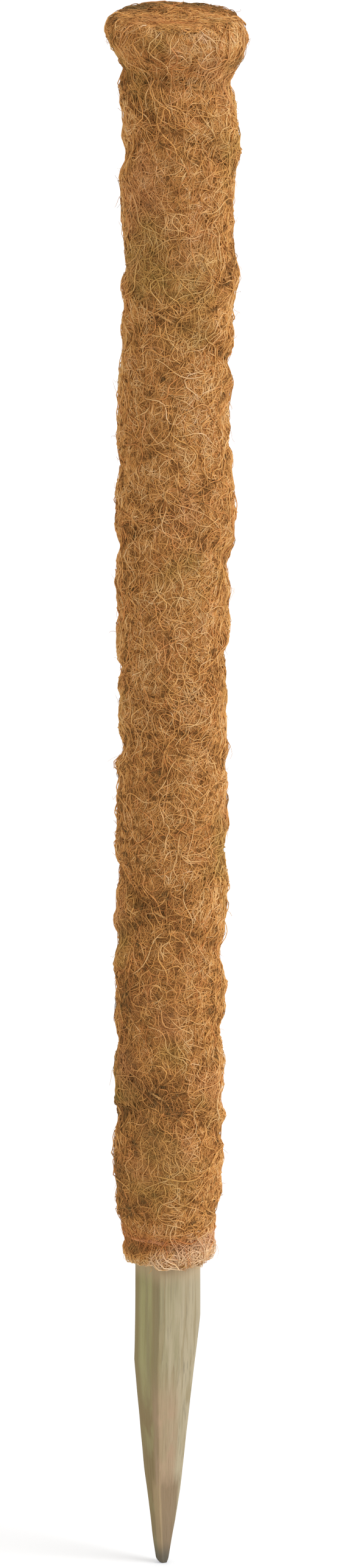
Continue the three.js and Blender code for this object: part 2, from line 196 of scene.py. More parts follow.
class BindingSettings(bpy.types.PropertyGroup):
    """The two crossing threads and the ties at neck and hem"""

    pitch: length("Pitch", 73.043 * MM, "Height that a thread climbs in one turn")
    crossing_drop: length("Crossing drop", 112.174 * MM, "Lip to a front crossing, before the drift")
    crossing_turn: angle("Crossing turn", -14, "Where the front crossings lie, from the front to the right")
    drift_swing: length("Drift swing", 5 * MM, "Slow drift of the turns, up and then down")
    drift_sag: length("Drift sag", 4 * MM, "Slow drift of the turns, down only")
    groove_depth: length("Groove depth", 2.3 * MM, "How far a thread draws the mat in")
    groove_ease: number("Groove ease", 0.55, "Share that the grooves lose at front and back", "FACTOR")
    groove_reach: length("Groove reach", 2.9 * MM, "Distance over which the mat rises from a thread")
    pillow: length("Pillow", 0.95 * MM, "How far the mat puffs up beside a thread")
    pillow_place: length("Pillow place", 6.5 * MM, "Distance from a thread to the top of the puff")
    pillow_reach: length("Pillow reach", 4.5 * MM, "Half the width of the puff")
    tie_dip: length("Tie dip", 1.3 * MM, "How far a tie draws the mat in")
    ply_radius: length("Ply radius", 0.3 * MM, "Radius of one of the two plies")
    ply_pitch: length("Ply pitch", 3.2 * MM, "Length of one twist of the plies")
    sink: length("Sink", 2.1 * MM, "How far the thread's middle lies under the mat's surface")
    neck_sink: length("Neck sink", 1.5 * MM, "How far the neck's tie is sunk among the fibres")
    hem_sink: length("Hem sink", 0.9 * MM, "How far the hem's tie is sunk among the fibres")
    tie_turns: count("Tie turns", 2, "Turns of each tie")
    steps: count("Steps", 130, "Points along one turn of a thread")
    brown: colour("Brown thread", (0.55, 0.29, 0.095), "Binding thread")
    red: colour("Red thread", (0.62, 0.27, 0.11), "Tie thread")


class StakeSettings(bpy.types.PropertyGroup):
    """The hewn stake"""

    side: length("Side", 18.2 * MM, "Side of the square stake")
    turn: angle("Turn", 31.2, "Where the right front face looks, from the front to the right")
    second_hewing: length("Second hewing", 34.5 * MM, "Height where the blunt last strokes begin")
    columns: count("Columns", 144, "Points round the stake")
    rows: count("Rows", 300, "Points along the bare foot")
    pale: colour("Pale wood", (0.425, 0.362, 0.248), "Weathered grey wood")
    green: colour("Green wood", (0.3, 0.26, 0.15), "Greenish weathering in the grain")
    moss: colour("Mossy wood", (0.27, 0.24, 0.1), "Green bloom on the left side")
    bloom: colour("Bloom", (0.37, 0.345, 0.165), "Paler bloom down the middle of the left side")
    fresh: colour("Fresh wood", (0.24, 0.165, 0.096), "Cut wood of the last strokes")
    earthy: colour("Earthy wood", (0.255, 0.19, 0.09), "Brown stains on the left of the point")
    rosy: colour("Rosy wood", (0.4, 0.275, 0.18), "Pinkish stains on the right of the point")
    tan: colour("Tan wood", (0.4, 0.29, 0.165), "Pale strip down the front of the point")
    # Painted warm light on the wood just under the hem, lifting the hem's shadow there
    painted_hem_light: colour("Dusted wood", (0.56, 0.42, 0.27), "Coir dust on the wood just under the hem")
    dark: colour("Dark wood", (0.1, 0.09, 0.07), "Grain lines and the dirty tip")


class StageSettings(bpy.types.PropertyGroup):
    """Floor, light and camera"""

    elevation: angle("Elevation", 13.5, "How far the camera looks down")
    roll: angle("Roll", 0.52, "How far the pole leans in the picture")
    distance: length("Distance", 4.8, "Camera to the middle of the picture")
    scale: number("Scale", 4351, "Pixels in a metre, across the pole")
    aim_height: length("Aim height", 306.7 * MM, "Height at the middle of the picture")
    aim_right: length("Aim right", 1.85 * MM, "How far the middle of the picture is to the right of the axis")
    key_turn: angle("Key turn", 66, "Where the key light stands, from the front to the right")
    key_rise: angle("Key rise", 32, "How high the key light stands")
    key_spread: angle("Key spread", 35, "How wide the key light looks")
    key_strength: number("Key strength", 1.6, "Light of the key lamp")
    sky_strength: number("Sky strength", 0.77, "Light from all round")
    key: colour("Key light", (0.95, 0.98, 1.0), "Colour of the key lamp")
    sky: colour("Sky", (1.0, 0.95, 0.845), "Colour of the light from all round")
    floor: colour("Floor", (0.9, 0.9, 0.9), "Pale floor")
    floor_glow: colour("Floor glow", (0.165, 0.19, 0.25), "What the camera sees the floor paler by")


class MossPoleSettings(bpy.types.PropertyGroup):
    """Everything that can be set on the pole"""

    mat: PointerProperty(type=MatSettings)
    fibre: PointerProperty(type=FibreSettings)
    binding: PointerProperty(type=BindingSettings)
    stake: PointerProperty(type=StakeSettings)
    stage: PointerProperty(type=StageSettings)


def settings():
    """What the pole's user has set."""
    return bpy.context.scene.moss_pole


class Value:
    """A number in a material. Arithmetic on it adds Math nodes."""

    def __init__(self, finish, socket):
        self.finish = finish
        self.socket = socket

    def __add__(self, other):
        return self.finish.math("ADD", self, other)

    def __mul__(self, other):
        return self.finish.math("MULTIPLY", self, other)

    def __sub__(self, other):
        return self.finish.math("SUBTRACT", self, other)

    def __rsub__(self, other):
        return self.finish.math("SUBTRACT", other, self)

    __radd__ = __add__
    __rmul__ = __mul__

    def between(self, low, high):
        """0 below low, 1 above high and a smooth step from one to the other."""
        sockets = {0: self, 1: low, 2: high, 3: 0.0, 4: 1.0}
        return self.finish.number("ShaderNodeMapRange", {"interpolation_type": "SMOOTHSTEP"}, sockets)

    def within(self, low, high, edge):
        """1 between low and high, with smooth edges outside them."""
        return self.between(low - edge, low) * (1 - self.between(high, high + edge))


class Finish:
    """The nodes of a material or of the world."""

    def __init__(self, owner):
        owner.use_nodes = True
        self.owner = owner
        self.tree = owner.node_tree
        self.tree.nodes.clear()

    def node(self, kind, options=None, sockets=None):
        """Adds a node: its settings first, then the values or links of its sockets."""
        made = self.tree.nodes.new(kind)
        for key, setting in (options or {}).items():
            setattr(made, key, setting)
        for key, given in (sockets or {}).items():
            source = given.socket if isinstance(given, Value) else given
            if isinstance(source, bpy.types.NodeSocket):
                self.tree.links.new(source, made.inputs[key])
            else:
                made.inputs[key].default_value = source
        return made

    def number(self, kind, options=None, sockets=None, output=0):
        return Value(self, self.node(kind, options, sockets).outputs[output])

    def math(self, operation, *terms):
        return self.number("ShaderNodeMath", {"operation": operation}, dict(enumerate(terms)))

    def attribute(self, name):
        return self.number("ShaderNodeAttribute", {"attribute_name": name}, output="Fac")

    def place(self):
        """Object coordinates."""
        return self.node("ShaderNodeTexCoord").outputs["Object"]

    def height(self):
        return self.number("ShaderNodeSeparateXYZ", None, {0: self.place()}, output="Z")

    def noise(self, scale, detail=3.0, rough=0.55, across=1, along=1):
        """Noise whose places are stretched across and along the pole: more makes it finer that way."""
        stretch = {"Vector": self.place(), "Scale": (across, across, along)}
        where = self.node("ShaderNodeMapping", None, stretch).outputs[0]
        sockets = {"Vector": where, "Scale": scale, "Detail": detail, "Roughness": rough}
        return self.number("ShaderNodeTexNoise", None, sockets)

    def mix(self, first, second, factor):
        """A colour between two others."""
        first, second = (
            given if isinstance(given, bpy.types.NodeSocket) else (*given, 1.0) for given in (first, second)
        )
        return self.node("ShaderNodeMix", {"data_type": "RGBA"}, {0: factor, 6: first, 7: second}).outputs[2]

    def coats(self, base, *coats):
        """A base colour under coats, from the lowest up: each is a colour and the share that it covers."""
        for tint, share in coats:
            base = self.mix(base, tint, share)
        return base

    def bump(self, height, distance):
        return self.node("ShaderNodeBump", None, {"Height": height, "Distance": distance}).outputs[0]

    def shown(self):
        """1 for the rays that show the background: from the camera, off a mirror or through glass."""
        path = self.node("ShaderNodeLightPath").outputs
        camera, mirrored, through = (
            Value(self, path[kind]) for kind in ("Is Camera Ray", "Is Glossy Ray", "Is Transmission Ray")
        )
        return camera + mirrored + through

    def background(self, tint, strength):
        sockets = {"Color": (*tint, 1), "Strength": strength}
        return self.node("ShaderNodeBackground", None, sockets).outputs[0]

    def surface(self, **sockets):
        """Ends a material in one Principled shader and gives the material."""
        named = {key.replace("_", " "): given for key, given in sockets.items()}
        shader = self.node("ShaderNodeBsdfPrincipled", None, named)
        self.node("ShaderNodeOutputMaterial", None, {0: shader.outputs[0]})
        return self.owner


def new_finish(name):
    return Finish(bpy.data.materials.new(name))


def fibre_finish():
    """Coir strands: each has its own tone and warmth, with paler and darker stretches and patches."""
    look = settings().fibre
    finish = new_finish("coir_fibre")
    patch = finish.noise(45.0, 2.0) - 0.5
    blotch = finish.noise(210.0, 2.0) - 0.5
    streak = finish.noise(480.0, 2.0) - 0.5
    pits = finish.noise(260.0, 1.0, 0.5, along=1.4).between(0.56, 0.68)
    level = finish.attribute("tone") + patch * 0.5 + blotch * 0.95 + streak * 0.7 - pits * 0.5 + 0.06
    green_patch = finish.noise(31.0, 2.0).between(0.52, 0.72)
    rosy_patch = finish.noise(37.0, 2.0, 0.5, along=0.8).between(0.54, 0.74)
    coated = finish.coats(
        look.deep,
        (look.dark, level.between(-0.45, 0.0)),
        (look.middle, level.between(0.0, 0.5)),
        (look.light, level.between(0.5, 1.05)),
        (look.bleached, level.between(1.05, 1.6)),
        (look.warm, finish.attribute("warmth")),
        (look.olive, green_patch * 0.45),
        (look.rosy, rosy_patch * 0.4),
    )
    return finish.surface(Base_Color=coated, Roughness=0.8 - level * 0.2, Specular_IOR_Level=0.25)


def ground_finish():
    """Felted coir ground: brown dust, pits and matted hair that runs every way."""
    mat, fibre = settings().mat, settings().fibre
    finish = new_finish("coir_ground")
    felt = finish.noise(420.0, 5.0, 0.7)
    hair = finish.noise(160.0, 4.0, 0.65, across=9)
    weft = finish.noise(160.0, 4.0, 0.65, along=9)
    level = (felt + hair + weft).between(1.15, 1.8)
    haired = finish.coats(
        mat.ground_dark, (mat.ground, level), (fibre.middle, (hair + weft).between(1.05, 1.35) * 0.7)
    )
    return finish.surface(
        Base_Color=haired,
        Roughness=0.95 - level * 0.1,
        Specular_IOR_Level=0.15,
        Normal=finish.bump(felt + hair * 0.6, 0.6 * MM),
    )


def thread_finish(name, base):
    """Twisted thread: worn fluff on the plies and darker dye in the hollows."""
    finish = new_finish(name)
    fluff = finish.noise(900.0, 3.0)
    fade = finish.noise(60.0, 2.0)
    worn = finish.coats(
        [part * 0.55 for part in base],
        (base, fluff.between(0.3, 0.6)),
        ([min(1.0, part * 1.7) for part in base], fade.between(0.5, 0.75) * 0.6),
    )
    return finish.surface(
        Base_Color=worn, Roughness=0.85 - fluff * 0.15, Normal=finish.bump(fluff, 0.1 * MM)
    )


def wood_finish():
    """Hewn softwood: long grain, grey weathering, mossy on the left, bruised, browner last strokes, painted
    shade at the arrises on the left and painted warm light just under the hem.

    across runs from -1 at the left arris over 0 at the front one to 1 at the right one.
    """
    look = settings().stake
    finish = new_finish("hewn_wood")
    height, across = finish.height(), finish.attribute("across")
    grain = finish.noise(380.0, 4.0, 0.6, along=0.045)
    fine = finish.noise(1500.0, 3.0, 0.6, along=0.03)
    stripe = finish.noise(230.0, 2.0, 0.5, along=0.02)
    cloud = finish.noise(48.0, 3.0, 0.5, along=0.5)
    stain = finish.noise(90.0, 3.0, 0.6, along=0.6)
    late = finish.noise(760.0, 2.0, 0.5, along=0.02).between(0.5, 0.68)
    bloom = finish.noise(150.0, 3.0, 0.6, along=0.1).between(0.36, 0.54)
    weathered = (grain * 0.5 + cloud * 0.3 + stripe * 0.2 + across * 0.2).between(0.46, 0.66)
    mottle = stain.between(0.42, 0.56)
    left = 1 - across.between(-0.2, 0.06)
    # painted shade along the left arris, darkening the edge of the left face
    left_arris_shade = 1 - across.between(-1.0, -0.7)
    ragged = height + (stain - 0.5) * 26 * MM
    cut = 1 - ragged.between(look.second_hewing - 5 * MM, look.second_hewing + 5 * MM)
    low = 1 - ragged.between(58 * MM, 84 * MM)
    dirty = 1 - height.between(2 * MM, 10 * MM)
    sooty = 1 - height.between(8 * MM, 24 * MM)
    # painted light: the wood just under the hem is made paler and warmer against the hem's shadow
    under_hem = height.between(HEM - 9 * MM, HEM)
    coated = finish.coats(
        look.green,
        (look.pale, weathered),
        (look.dark, fine.between(0.54, 0.7) * 0.34),
        (look.earthy, late * 0.45),
        (look.moss, left * (0.3 + 0.5 * stripe.between(0.4, 0.6))),
        (look.bloom, across.within(-0.72, -0.34, 0.16) * bloom * 0.85),
        (look.earthy, left_arris_shade * 0.75),
        # painted shade: a darker strip on the left face beside the front arris
        (look.earthy, across.within(-0.26, -0.06, 0.1) * 0.55),
        (look.earthy, low * (0.4 + 0.6 * mottle) * across.within(-0.9, -0.3, 0.2)),
        (look.rosy, low * (0.5 + 0.4 * mottle) * across.within(-0.18, 0.35, 0.25)),
        (look.fresh, cut * across.within(0.0, 0.6, 0.15) * 0.8),
        (look.tan, cut * across.within(-0.5, -0.15, 0.15) * 0.8),
        (look.dark, dirty * 0.75 + sooty * 0.15),
        (look.painted_hem_light, under_hem * 0.6),
    )
    bump = finish.bump(grain * 0.6 + fine * 0.4 - late * 0.25, 0.4 * MM)
    return finish.surface(Base_Color=coated, Roughness=0.7 + grain * 0.2, Normal=bump)


def wire_finish():
    """Galvanised wire with a cloudy zinc skin."""
    finish = new_finish("galvanised_wire")
    spangle = finish.noise(300.0, 2.0)
    tinted = finish.mix((0.42, 0.42, 0.41), (0.62, 0.62, 0.6), spangle.between(0.35, 0.65))
    return finish.surface(Base_Color=tinted, Metallic=1.0, Roughness=0.3 + spangle * 0.25)


def floor_finish():
    """Pale floor that keeps the pole's shadow and looks nearly white where it is seen."""
    look = settings().stage
    finish = new_finish("pale_floor")
    glow = finish.mix((0, 0, 0), look.floor_glow, finish.shown())
    return finish.surface(
        Base_Color=(*look.floor, 1.0), Roughness=0.9, Emission_Color=glow, Emission_Strength=1.0
    )


def on_pole(turn, radius, height):
    """Points (r sin t, -r cos t, z) at turns t from the front (-Y) towards +X, radii r and heights z."""
    return np.stack(np.broadcast_arrays(radius * np.sin(turn), -radius * np.cos(turn), height), -1)


def ring_turns(columns):
    """Turns of the points of a ring, evenly spread."""
    return TURN * np.arange(columns) / columns


def turned_apart(turn, other):
    """The smaller way from one turn to another, from minus to plus half a turn."""
    return (turn - other + np.pi) % TURN - np.pi


def unit(vectors):
    """Vectors divided by their lengths."""
    return vectors / (np.linalg.norm(vectors, axis=-1, keepdims=True) + TINY)


def bell(*away):
    """exp(-(a^2 + b^2 + ...)), a, b, ... the ways from the middle as shares of the reach."""
    return np.exp(-sum(part**2 for part in away))


def turn_bell(turn, middle, reach):
    """exp(-2 (1 - cos(turn - middle)) / reach^2), a bell curve that closes round the pole."""
    return np.exp(-2 * (1 - np.cos(turn - middle)) / reach**2)


def spot(x, y, middle_x, middle_y, across, along):
    """A bell curve to the right and to the back over the crown, its middle and its reaches in mm."""
    return bell((x / MM - middle_x) / across, (y / MM - middle_y) / along)


def smooth_step(part):
    """3t^2 - 2t^3, with t held between 0 and 1."""
    held = np.clip(part, 0, 1)
    return held**2 * (3 - 2 * held)


def smooth_steps(where, stations):
    """A value that goes from station to station, each time in a smooth step."""
    places, values = np.array(stations, float).T
    above = np.clip(np.searchsorted(places, where), 1, len(places) - 1)
    part = (where - places[above - 1]) / (places[above] - places[above - 1])
    return values[above - 1] + (values[above] - values[above - 1]) * smooth_step(part)


def side_radius(height):
    """Radius of the mat between the threads, through its stations from hem to lip, less the lip's round.

    The round is a quarter of an ellipse, draw * (1 - sqrt(1 - t^2)), t going from 0 at the flare to 1 at
    the lip.
    """
    mat = settings().mat
    up_lip = np.clip((height - LIP) / mat.flare_drop + 1, 0, 1)
    drawn = mat.lip_draw * (1 - np.sqrt(1 - up_lip**2))
    stations = [
        (HEM, HEM_RADIUS - mat.hem_round),
        (HEM + mat.hem_lip, HEM_RADIUS),
        (HEM_TIE, HEM_RADIUS),
        (HEM + mat.hem_taper, mat.body_radius),
        (HEM + mat.shoulder_rise / 2, mat.body_radius),
        (HEM + mat.shoulder_rise, mat.body_radius + mat.shoulder_swell),
        (NECK, NECK_RADIUS),
        (LIP - mat.flare_drop, FLARE_RADIUS),
        (LIP, FLARE_RADIUS),
    ]
    return -mat.cover - drawn + smooth_steps(height, stations)


def wound_length(height):
    """How far down a thread has come at a height, before its drift: z = lip - s + drift(s), turned round."""
    binding = settings().binding
    total, samples = LIP - HEM, 2000
    down = np.linspace(0, total, samples)
    part = down / total
    drift = binding.drift_swing * np.sin(TURN * part) - binding.drift_sag * np.sin(np.pi * part)
    return np.interp(-height, -(LIP - down + drift), down)


def thread_turn(height, hand):
    """Turn of a thread at a height: one turn a pitch, and the two hands meet at the crossings."""
    binding = settings().binding
    fallen = wound_length(height) - binding.crossing_drop
    return binding.crossing_turn - hand * TURN * fallen / binding.pitch


def drawn_in(turn, height):
    """Two shares, 0 to 1: how near a point of the mat is to a thread, and how near to the puff beside one.

    The first is exp(-(d / reach)^2) and the second exp(-((d - place) / reach)^2), d square to the thread.
    The puff above a thread is fuller than the one below it. Both lose ease * cos(turn)^2, and end with
    the threads.
    """
    binding = settings().binding
    radius = settings().mat.body_radius
    fuller, margin = 0.3, 6 * MM
    slope = binding.pitch / np.hypot(binding.pitch, TURN * radius)
    deepest, fullest = 0.0, 0.0
    for hand in (1, -1):
        apart = turned_apart(turn, thread_turn(height, hand))
        square = np.abs(apart) * radius * slope
        above = 1 - fuller * np.sign(hand * apart)
        puff = above * bell((square - binding.pillow_place) / binding.pillow_reach)
        deepest = np.maximum(deepest, bell(square / binding.groove_reach))
        fullest = np.maximum(fullest, puff)
    above_low = np.clip((height - THREAD_LOW.z) / margin + 0.5, 0, 1)
    below_high = np.clip((THREAD_HIGH.z - height) / margin + 0.5, 0, 1)
    bite = above_low * below_high * (1 - binding.groove_ease * np.cos(turn) ** 2)
    return deepest * bite, fullest * bite


def lumps(turn, height, seed):
    """Sum of sine waves round and along the mat, from 42 mm to 5.5 mm long, shorter ones lower."""
    rng = np.random.default_rng(seed)
    radius = settings().mat.body_radius
    headings, evened = 7, 3.2
    total = 0.0
    for size, strength in ((42 * MM, 1.0), (20 * MM, 0.8), (10 * MM, 0.75), (5.5 * MM, 0.45)):
        for heading in rng.uniform(0, np.pi, headings):
            waves = round(TURN * radius / size * np.cos(heading))
            climb = TURN / size * np.sin(heading)
            total = total + strength * np.sin(waves * turn + climb * height + rng.uniform(0, TURN))
    return total / evened


def swells(turn, height):
    """Swells and dents of the two sides: each is rise * exp(-(dz / reach)^2 - (dturn / 50 degrees)^2)."""
    spread = np.radians(50)
    total = 0.0
    for side, forms in ((QUARTER, RIGHT_SWELLS), (-QUARTER, LEFT_SWELLS)):
        near = bell(turned_apart(turn, side) / spread)
        for middle, rise, reach in forms:
            total = total + near * rise * MM * bell((height / MM - middle) / reach)
    return total


def near_tie(height):
    """0 to 1, by how near a height is to one of the two ties: exp(-((z - tie) / reach)^4) for each."""
    reach = 2.6 * MM
    return sum(bell(((height - tie) / reach) ** 2) for tie in (NECK, HEM_TIE))


def relief(turn, height, bridge=0.0):
    """How far the mat stands off its plain side: lumps, swells and pillows, less grooves and the ties' dips.

    bridge is the share of a groove that a fibre spans instead of following.
    """
    mat, binding = settings().mat, settings().binding
    drawn, puffed = drawn_in(turn, height)
    up = (mat.lump_height * lumps(turn, height, LUMP_SEED) + binding.pillow * puffed) * (1 - drawn)
    down = binding.groove_depth * drawn + binding.tie_dip * near_tie(height)
    return up + swells(turn, height) - down * (1 - bridge)


def settled(points):
    """The points as the pole has settled: head moved to the left, neck tied askew and crown dented.

    x loses lean * s, s a smooth step that ends at the neck. z loses tilt * x / R times a bell curve about
    the neck. Near the lip it gains rise times a smooth step from the middle to the back, and loses depth
    times the hollow's bell curve.
    """
    mat = settings().mat
    lean_rise, tilt_reach, crown_depth = 40 * MM, 14 * MM, 8 * MM
    back_start, back_run = -0.15, 0.75
    x, y, z = np.moveaxis(points, -1, 0)
    on_top = smooth_step((z - LIP + crown_depth) / crown_depth)
    tilt = mat.neck_tilt * x / NECK_RADIUS * bell((z - NECK) / tilt_reach)
    raised = mat.back_rise * smooth_step((y / FLARE_RADIUS - back_start) / back_run)
    dented = mat.hollow_depth * spot(x, y, *CROWN_HOLLOW)
    moved_x = x - mat.head_lean * smooth_step((z - NECK + lean_rise) / lean_rise)
    return np.stack([moved_x, y, z - tilt + on_top * raised - on_top * dented], -1)


class MatFace:
    """The mat's outer face as a strip: a place along it gives radius, height and the way out.

    The strip comes from under the hem, goes up the side and over the lip to the wad. UNDER and OVER are its
    rows below the side and past it.
    """

    UNDER, OVER = 5, 9

    def __init__(self):
        mat = settings().mat
        inner = settings().stake.side / np.sqrt(2)
        heights = np.linspace(HEM + mat.hem_hang, LIP - mat.lip_sink, mat.rows)
        side = side_radius(heights)
        under = np.linspace(inner, side[0], self.UNDER + 1)[:-1]
        over = np.linspace(side[-1], WAD_RADIUS + GAP, self.OVER + 1)[1:]
        self.radii = np.concatenate([under, side, over])
        self.levels = np.concatenate([heights[0] + 0 * under, heights, heights[-1] + 0 * over])
        run = np.hypot(np.diff(self.radii), np.diff(self.levels))
        self.along = np.concatenate([[0], np.cumsum(run)])
        out = np.gradient(self.levels, self.along), -np.gradient(self.radii, self.along)
        size = np.hypot(*out)
        self.out_radius, self.out_height = out[0] / size, out[1] / size

    def at(self, along):
        """Radius, height and the way out at a place, from row to row in a straight line."""
        along = np.clip(along, 0, self.along[-1])
        columns = (self.radii, self.levels, self.out_radius, self.out_height)
        return [np.interp(along, self.along, column) for column in columns]

    def points(self, along, turn, lift, bridge=0.0):
        """Points over the face, lifted square to it by lift and the mat's relief, and the ways out there."""
        radius, height, out_radius, out_height = self.at(along)
        off = lift + relief(turn, height, bridge)
        places = on_pole(turn, radius + out_radius * off, height + out_height * off)
        return settled(places), on_pole(turn, out_radius, out_height)


def ring_faces(rows, columns, closed=False):
    """Quads between neighbouring rings of a grid. The last ring joins the first if it is closed."""
    row = np.arange(rows if closed else rows - 1)[:, None] * columns
    column = np.arange(columns)[None, :]
    after = (row + columns) % (rows * columns)
    beside = (column + 1) % columns
    return np.stack([row + column, row + beside, after + beside, after + column], -1).reshape(-1, 4)


def fan_faces(middle, ring, columns, flipped=False):
    """Triangles from a middle point to a ring of points that starts at the number ring."""
    column = np.arange(columns)
    beside = (column + 1) % columns
    first, second = (beside, column) if flipped else (column, beside)
    return np.stack([middle + 0 * column, ring + first, ring + second], -1)


def outward(points, groups):
    """The groups of faces, turned round if the quads of the first enclose a negative volume."""
    first, second, third, fourth = (points[groups[0][:, corner]] for corner in range(4))
    volume = (first * (np.cross(second, third) + np.cross(third, fourth))).sum()
    return groups if volume > 0 else [group[:, ::-1] for group in groups]


def capped(rings, first, last):
    """Points and faces of a tube of rings, closed by fans from a first and a last middle point."""
    rows, columns = rings.shape[:2]
    middles = rows * columns
    points = np.concatenate([rings.reshape(-1, 3), [first, last]])
    groups = [
        ring_faces(rows, columns),
        fan_faces(middles, 0, columns, flipped=True),
        fan_faces(middles + 1, middles - columns, columns),
    ]
    return points, outward(points, groups)


def linked(name, data):
    """A new object in the scene."""
    made = bpy.data.objects.new(name, data)
    bpy.context.scene.collection.objects.link(made)
    return made


def new_piece(name, points, groups, material, nodes=(), values=None, places=None):
    """Makes a finished piece from points and groups of faces, riding on the pole.

    values are numbers for each point, by name, and places are the corners' places on the piece's own map.
    """
    mesh = bpy.data.meshes.new(name)
    corners = np.concatenate([group.ravel() for group in groups])
    sizes = np.concatenate([np.full(len(group), group.shape[1]) for group in groups])
    mesh.vertices.add(len(points))
    mesh.vertices.foreach_set("co", np.ascontiguousarray(points, np.float32).ravel())
    mesh.loops.add(len(corners))
    mesh.loops.foreach_set("vertex_index", corners.astype(np.int32))
    mesh.polygons.add(len(sizes))
    mesh.polygons.foreach_set("loop_start", (np.cumsum(sizes) - sizes).astype(np.int32))
    mesh.polygons.foreach_set("use_smooth", np.ones(len(sizes), bool))
    for key, numbers in (values or {}).items():
        data = mesh.attributes.new(key, "FLOAT", "POINT").data
        data.foreach_set("value", numbers.astype(np.float32).ravel())
    if places is not None:
        mesh.uv_layers.new(name="OFBake").uv.foreach_set("vector", places.astype(np.float32).ravel())
    mesh.update(calc_edges=True)
    mesh.validate()
    mesh.materials.append(material)
    piece = linked(name, mesh)
    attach(piece, BODY)
    if nodes:
        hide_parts(*nodes)


def strand_pattern(points):
    """Faces of one strand with pointed ends, and each corner's place on a unit square, unrolled."""
    sides, steps = STRAND_SIDES, points - 1
    rings = points - 2
    last = 1 + rings * sides
    ring = np.arange(rings - 1)[:, None]
    side = np.arange(sides)[None, :]
    beside = (side + 1) % sides
    near, far = 1 + ring * sides, 1 + (ring + 1) * sides
    quads = np.stack([near + side, far + side, far + beside, near + beside], -1).reshape(-1, 4)
    start = fan_faces(0, 1, sides)
    end = fan_faces(last, last - sides, sides, flipped=True)
    low, high = (ring + 1) / steps, (ring + 2) / steps
    left, right = side / sides, (side + 1) / sides
    corners = np.broadcast_arrays(left, low, left, high, right, high, right, low)
    quad_places = np.stack(corners, -1).reshape(-1, 4, 2)
    one, other = left[0], right[0]
    middle, inner, outer = (one + other) / 2, 1 / steps, 1 - 1 / steps
    start_places = np.broadcast_arrays(middle, 0, one, inner, other, inner)
    end_places = np.broadcast_arrays(middle, 1, other, outer, one, outer)
    tri_places = np.stack(np.concatenate([start_places, end_places], 1), -1).reshape(-1, 3, 2)
    return quads, np.concatenate([start, end]), quad_places, tri_places


def strand_looks(rng, strands, thin, thick, level, blush):
    """Radius of each strand, thin ones commoner, and the tone and warmth at each of its points.

    level is the tone, and blush the added warmth, of the places that the strands lie on.
    """
    column = (strands, 1)
    red_share = 0.22
    radii = thin + (thick - thin) * rng.beta(1.6, 2.6, strands)
    tone = np.clip(rng.normal(0, 0.2, column) + level, -0.5, 1.5)
    red = rng.random(column) < red_share
    warmth = np.where(red, rng.uniform(0.2, 0.75, column), rng.uniform(0, 0.12, column))
    return radii, tone, np.clip(warmth + blush, 0, 1)


def strand_piece(name, rng, centres, out, thin, thick, level, blush=0.0):
    """Strands as three-sided tubes round their paths, pointed at both ends: r sin(pi t)^0.3 thick along t.

    centres and out are strands x points x 3. Each strand has a cell of its own on the piece's map.
    """
    bluntness, cells_across, margin = 0.3, 5, 0.1
    strands, points = centres.shape[:2]
    radii, tone, warmth = strand_looks(rng, strands, thin, thick, level, blush)
    along = unit(np.gradient(centres, axis=1))
    across = unit(np.cross(along, out))
    up = np.cross(across, along)
    corner = ring_turns(STRAND_SIDES)[:, None]
    spread = np.cos(corner) * up[:, 1:-1, None] - np.sin(corner) * across[:, 1:-1, None]
    swell = np.sin(np.pi * np.linspace(0, 1, points)[1:-1]) ** bluntness
    rings = centres[:, 1:-1, None] + radii[:, None, None, None] * swell[:, None, None] * spread
    places = np.concatenate([centres[:, :1], rings.reshape(strands, -1, 3), centres[:, -1:]], 1)
    quads, tris, quad_cells, tri_cells = strand_pattern(points)
    order = np.arange(strands)
    shift = places.shape[1] * order[:, None, None]
    wide = int(np.ceil(np.sqrt(strands * cells_across)))
    tall = int(np.ceil(strands / wide))
    cell = np.stack([order % wide, order // wide], -1)[:, None, None]

    def on_map(cells):
        return ((cell + margin + (1 - 2 * margin) * cells) / (wide, tall)).reshape(-1, 2)

    def on_rings(numbers):
        whole = np.broadcast_to(numbers, (strands, points))
        middles = np.repeat(whole[:, 1:-1], STRAND_SIDES, axis=1)
        return np.concatenate([whole[:, :1], middles, whole[:, -1:]], 1)

    new_piece(
        name,
        places.reshape(-1, 3),
        [(quads + shift).reshape(-1, 4), (tris + shift).reshape(-1, 3)],
        bpy.data.materials["coir_fibre"],
        values={"tone": on_rings(tone), "warmth": on_rings(warmth)},
        places=np.concatenate([on_map(quad_cells), on_map(tri_cells)]),
    )


def wandering(rng, points, heading, reach, curl):
    """Curled flat paths about the origin: the heading bends and swings along each, and its steps add up."""
    part = np.linspace(-0.5, 0.5, points)[None]
    column = (len(heading), 1)
    bend = rng.normal(0, 0.9, column) * curl
    swing = rng.uniform(0.25, 0.95, column) * curl
    waves = rng.uniform(1.0, 2.1, column)
    way = heading[:, None] + bend * part + swing * np.sin(TURN * (waves * part + rng.random(column)))
    step = reach[:, None] / (points - 1)
    runs = [np.cumsum(component * step, axis=1) for component in (np.cos(way), np.sin(way))]
    return [run - run[:, points // 2, None] for run in runs]


def some(rng, share, low, high, column):
    """A number from low to high for a share of the strands, and 0 for the others."""
    return np.where(rng.random(column) < share, rng.uniform(low, high, column), 0)


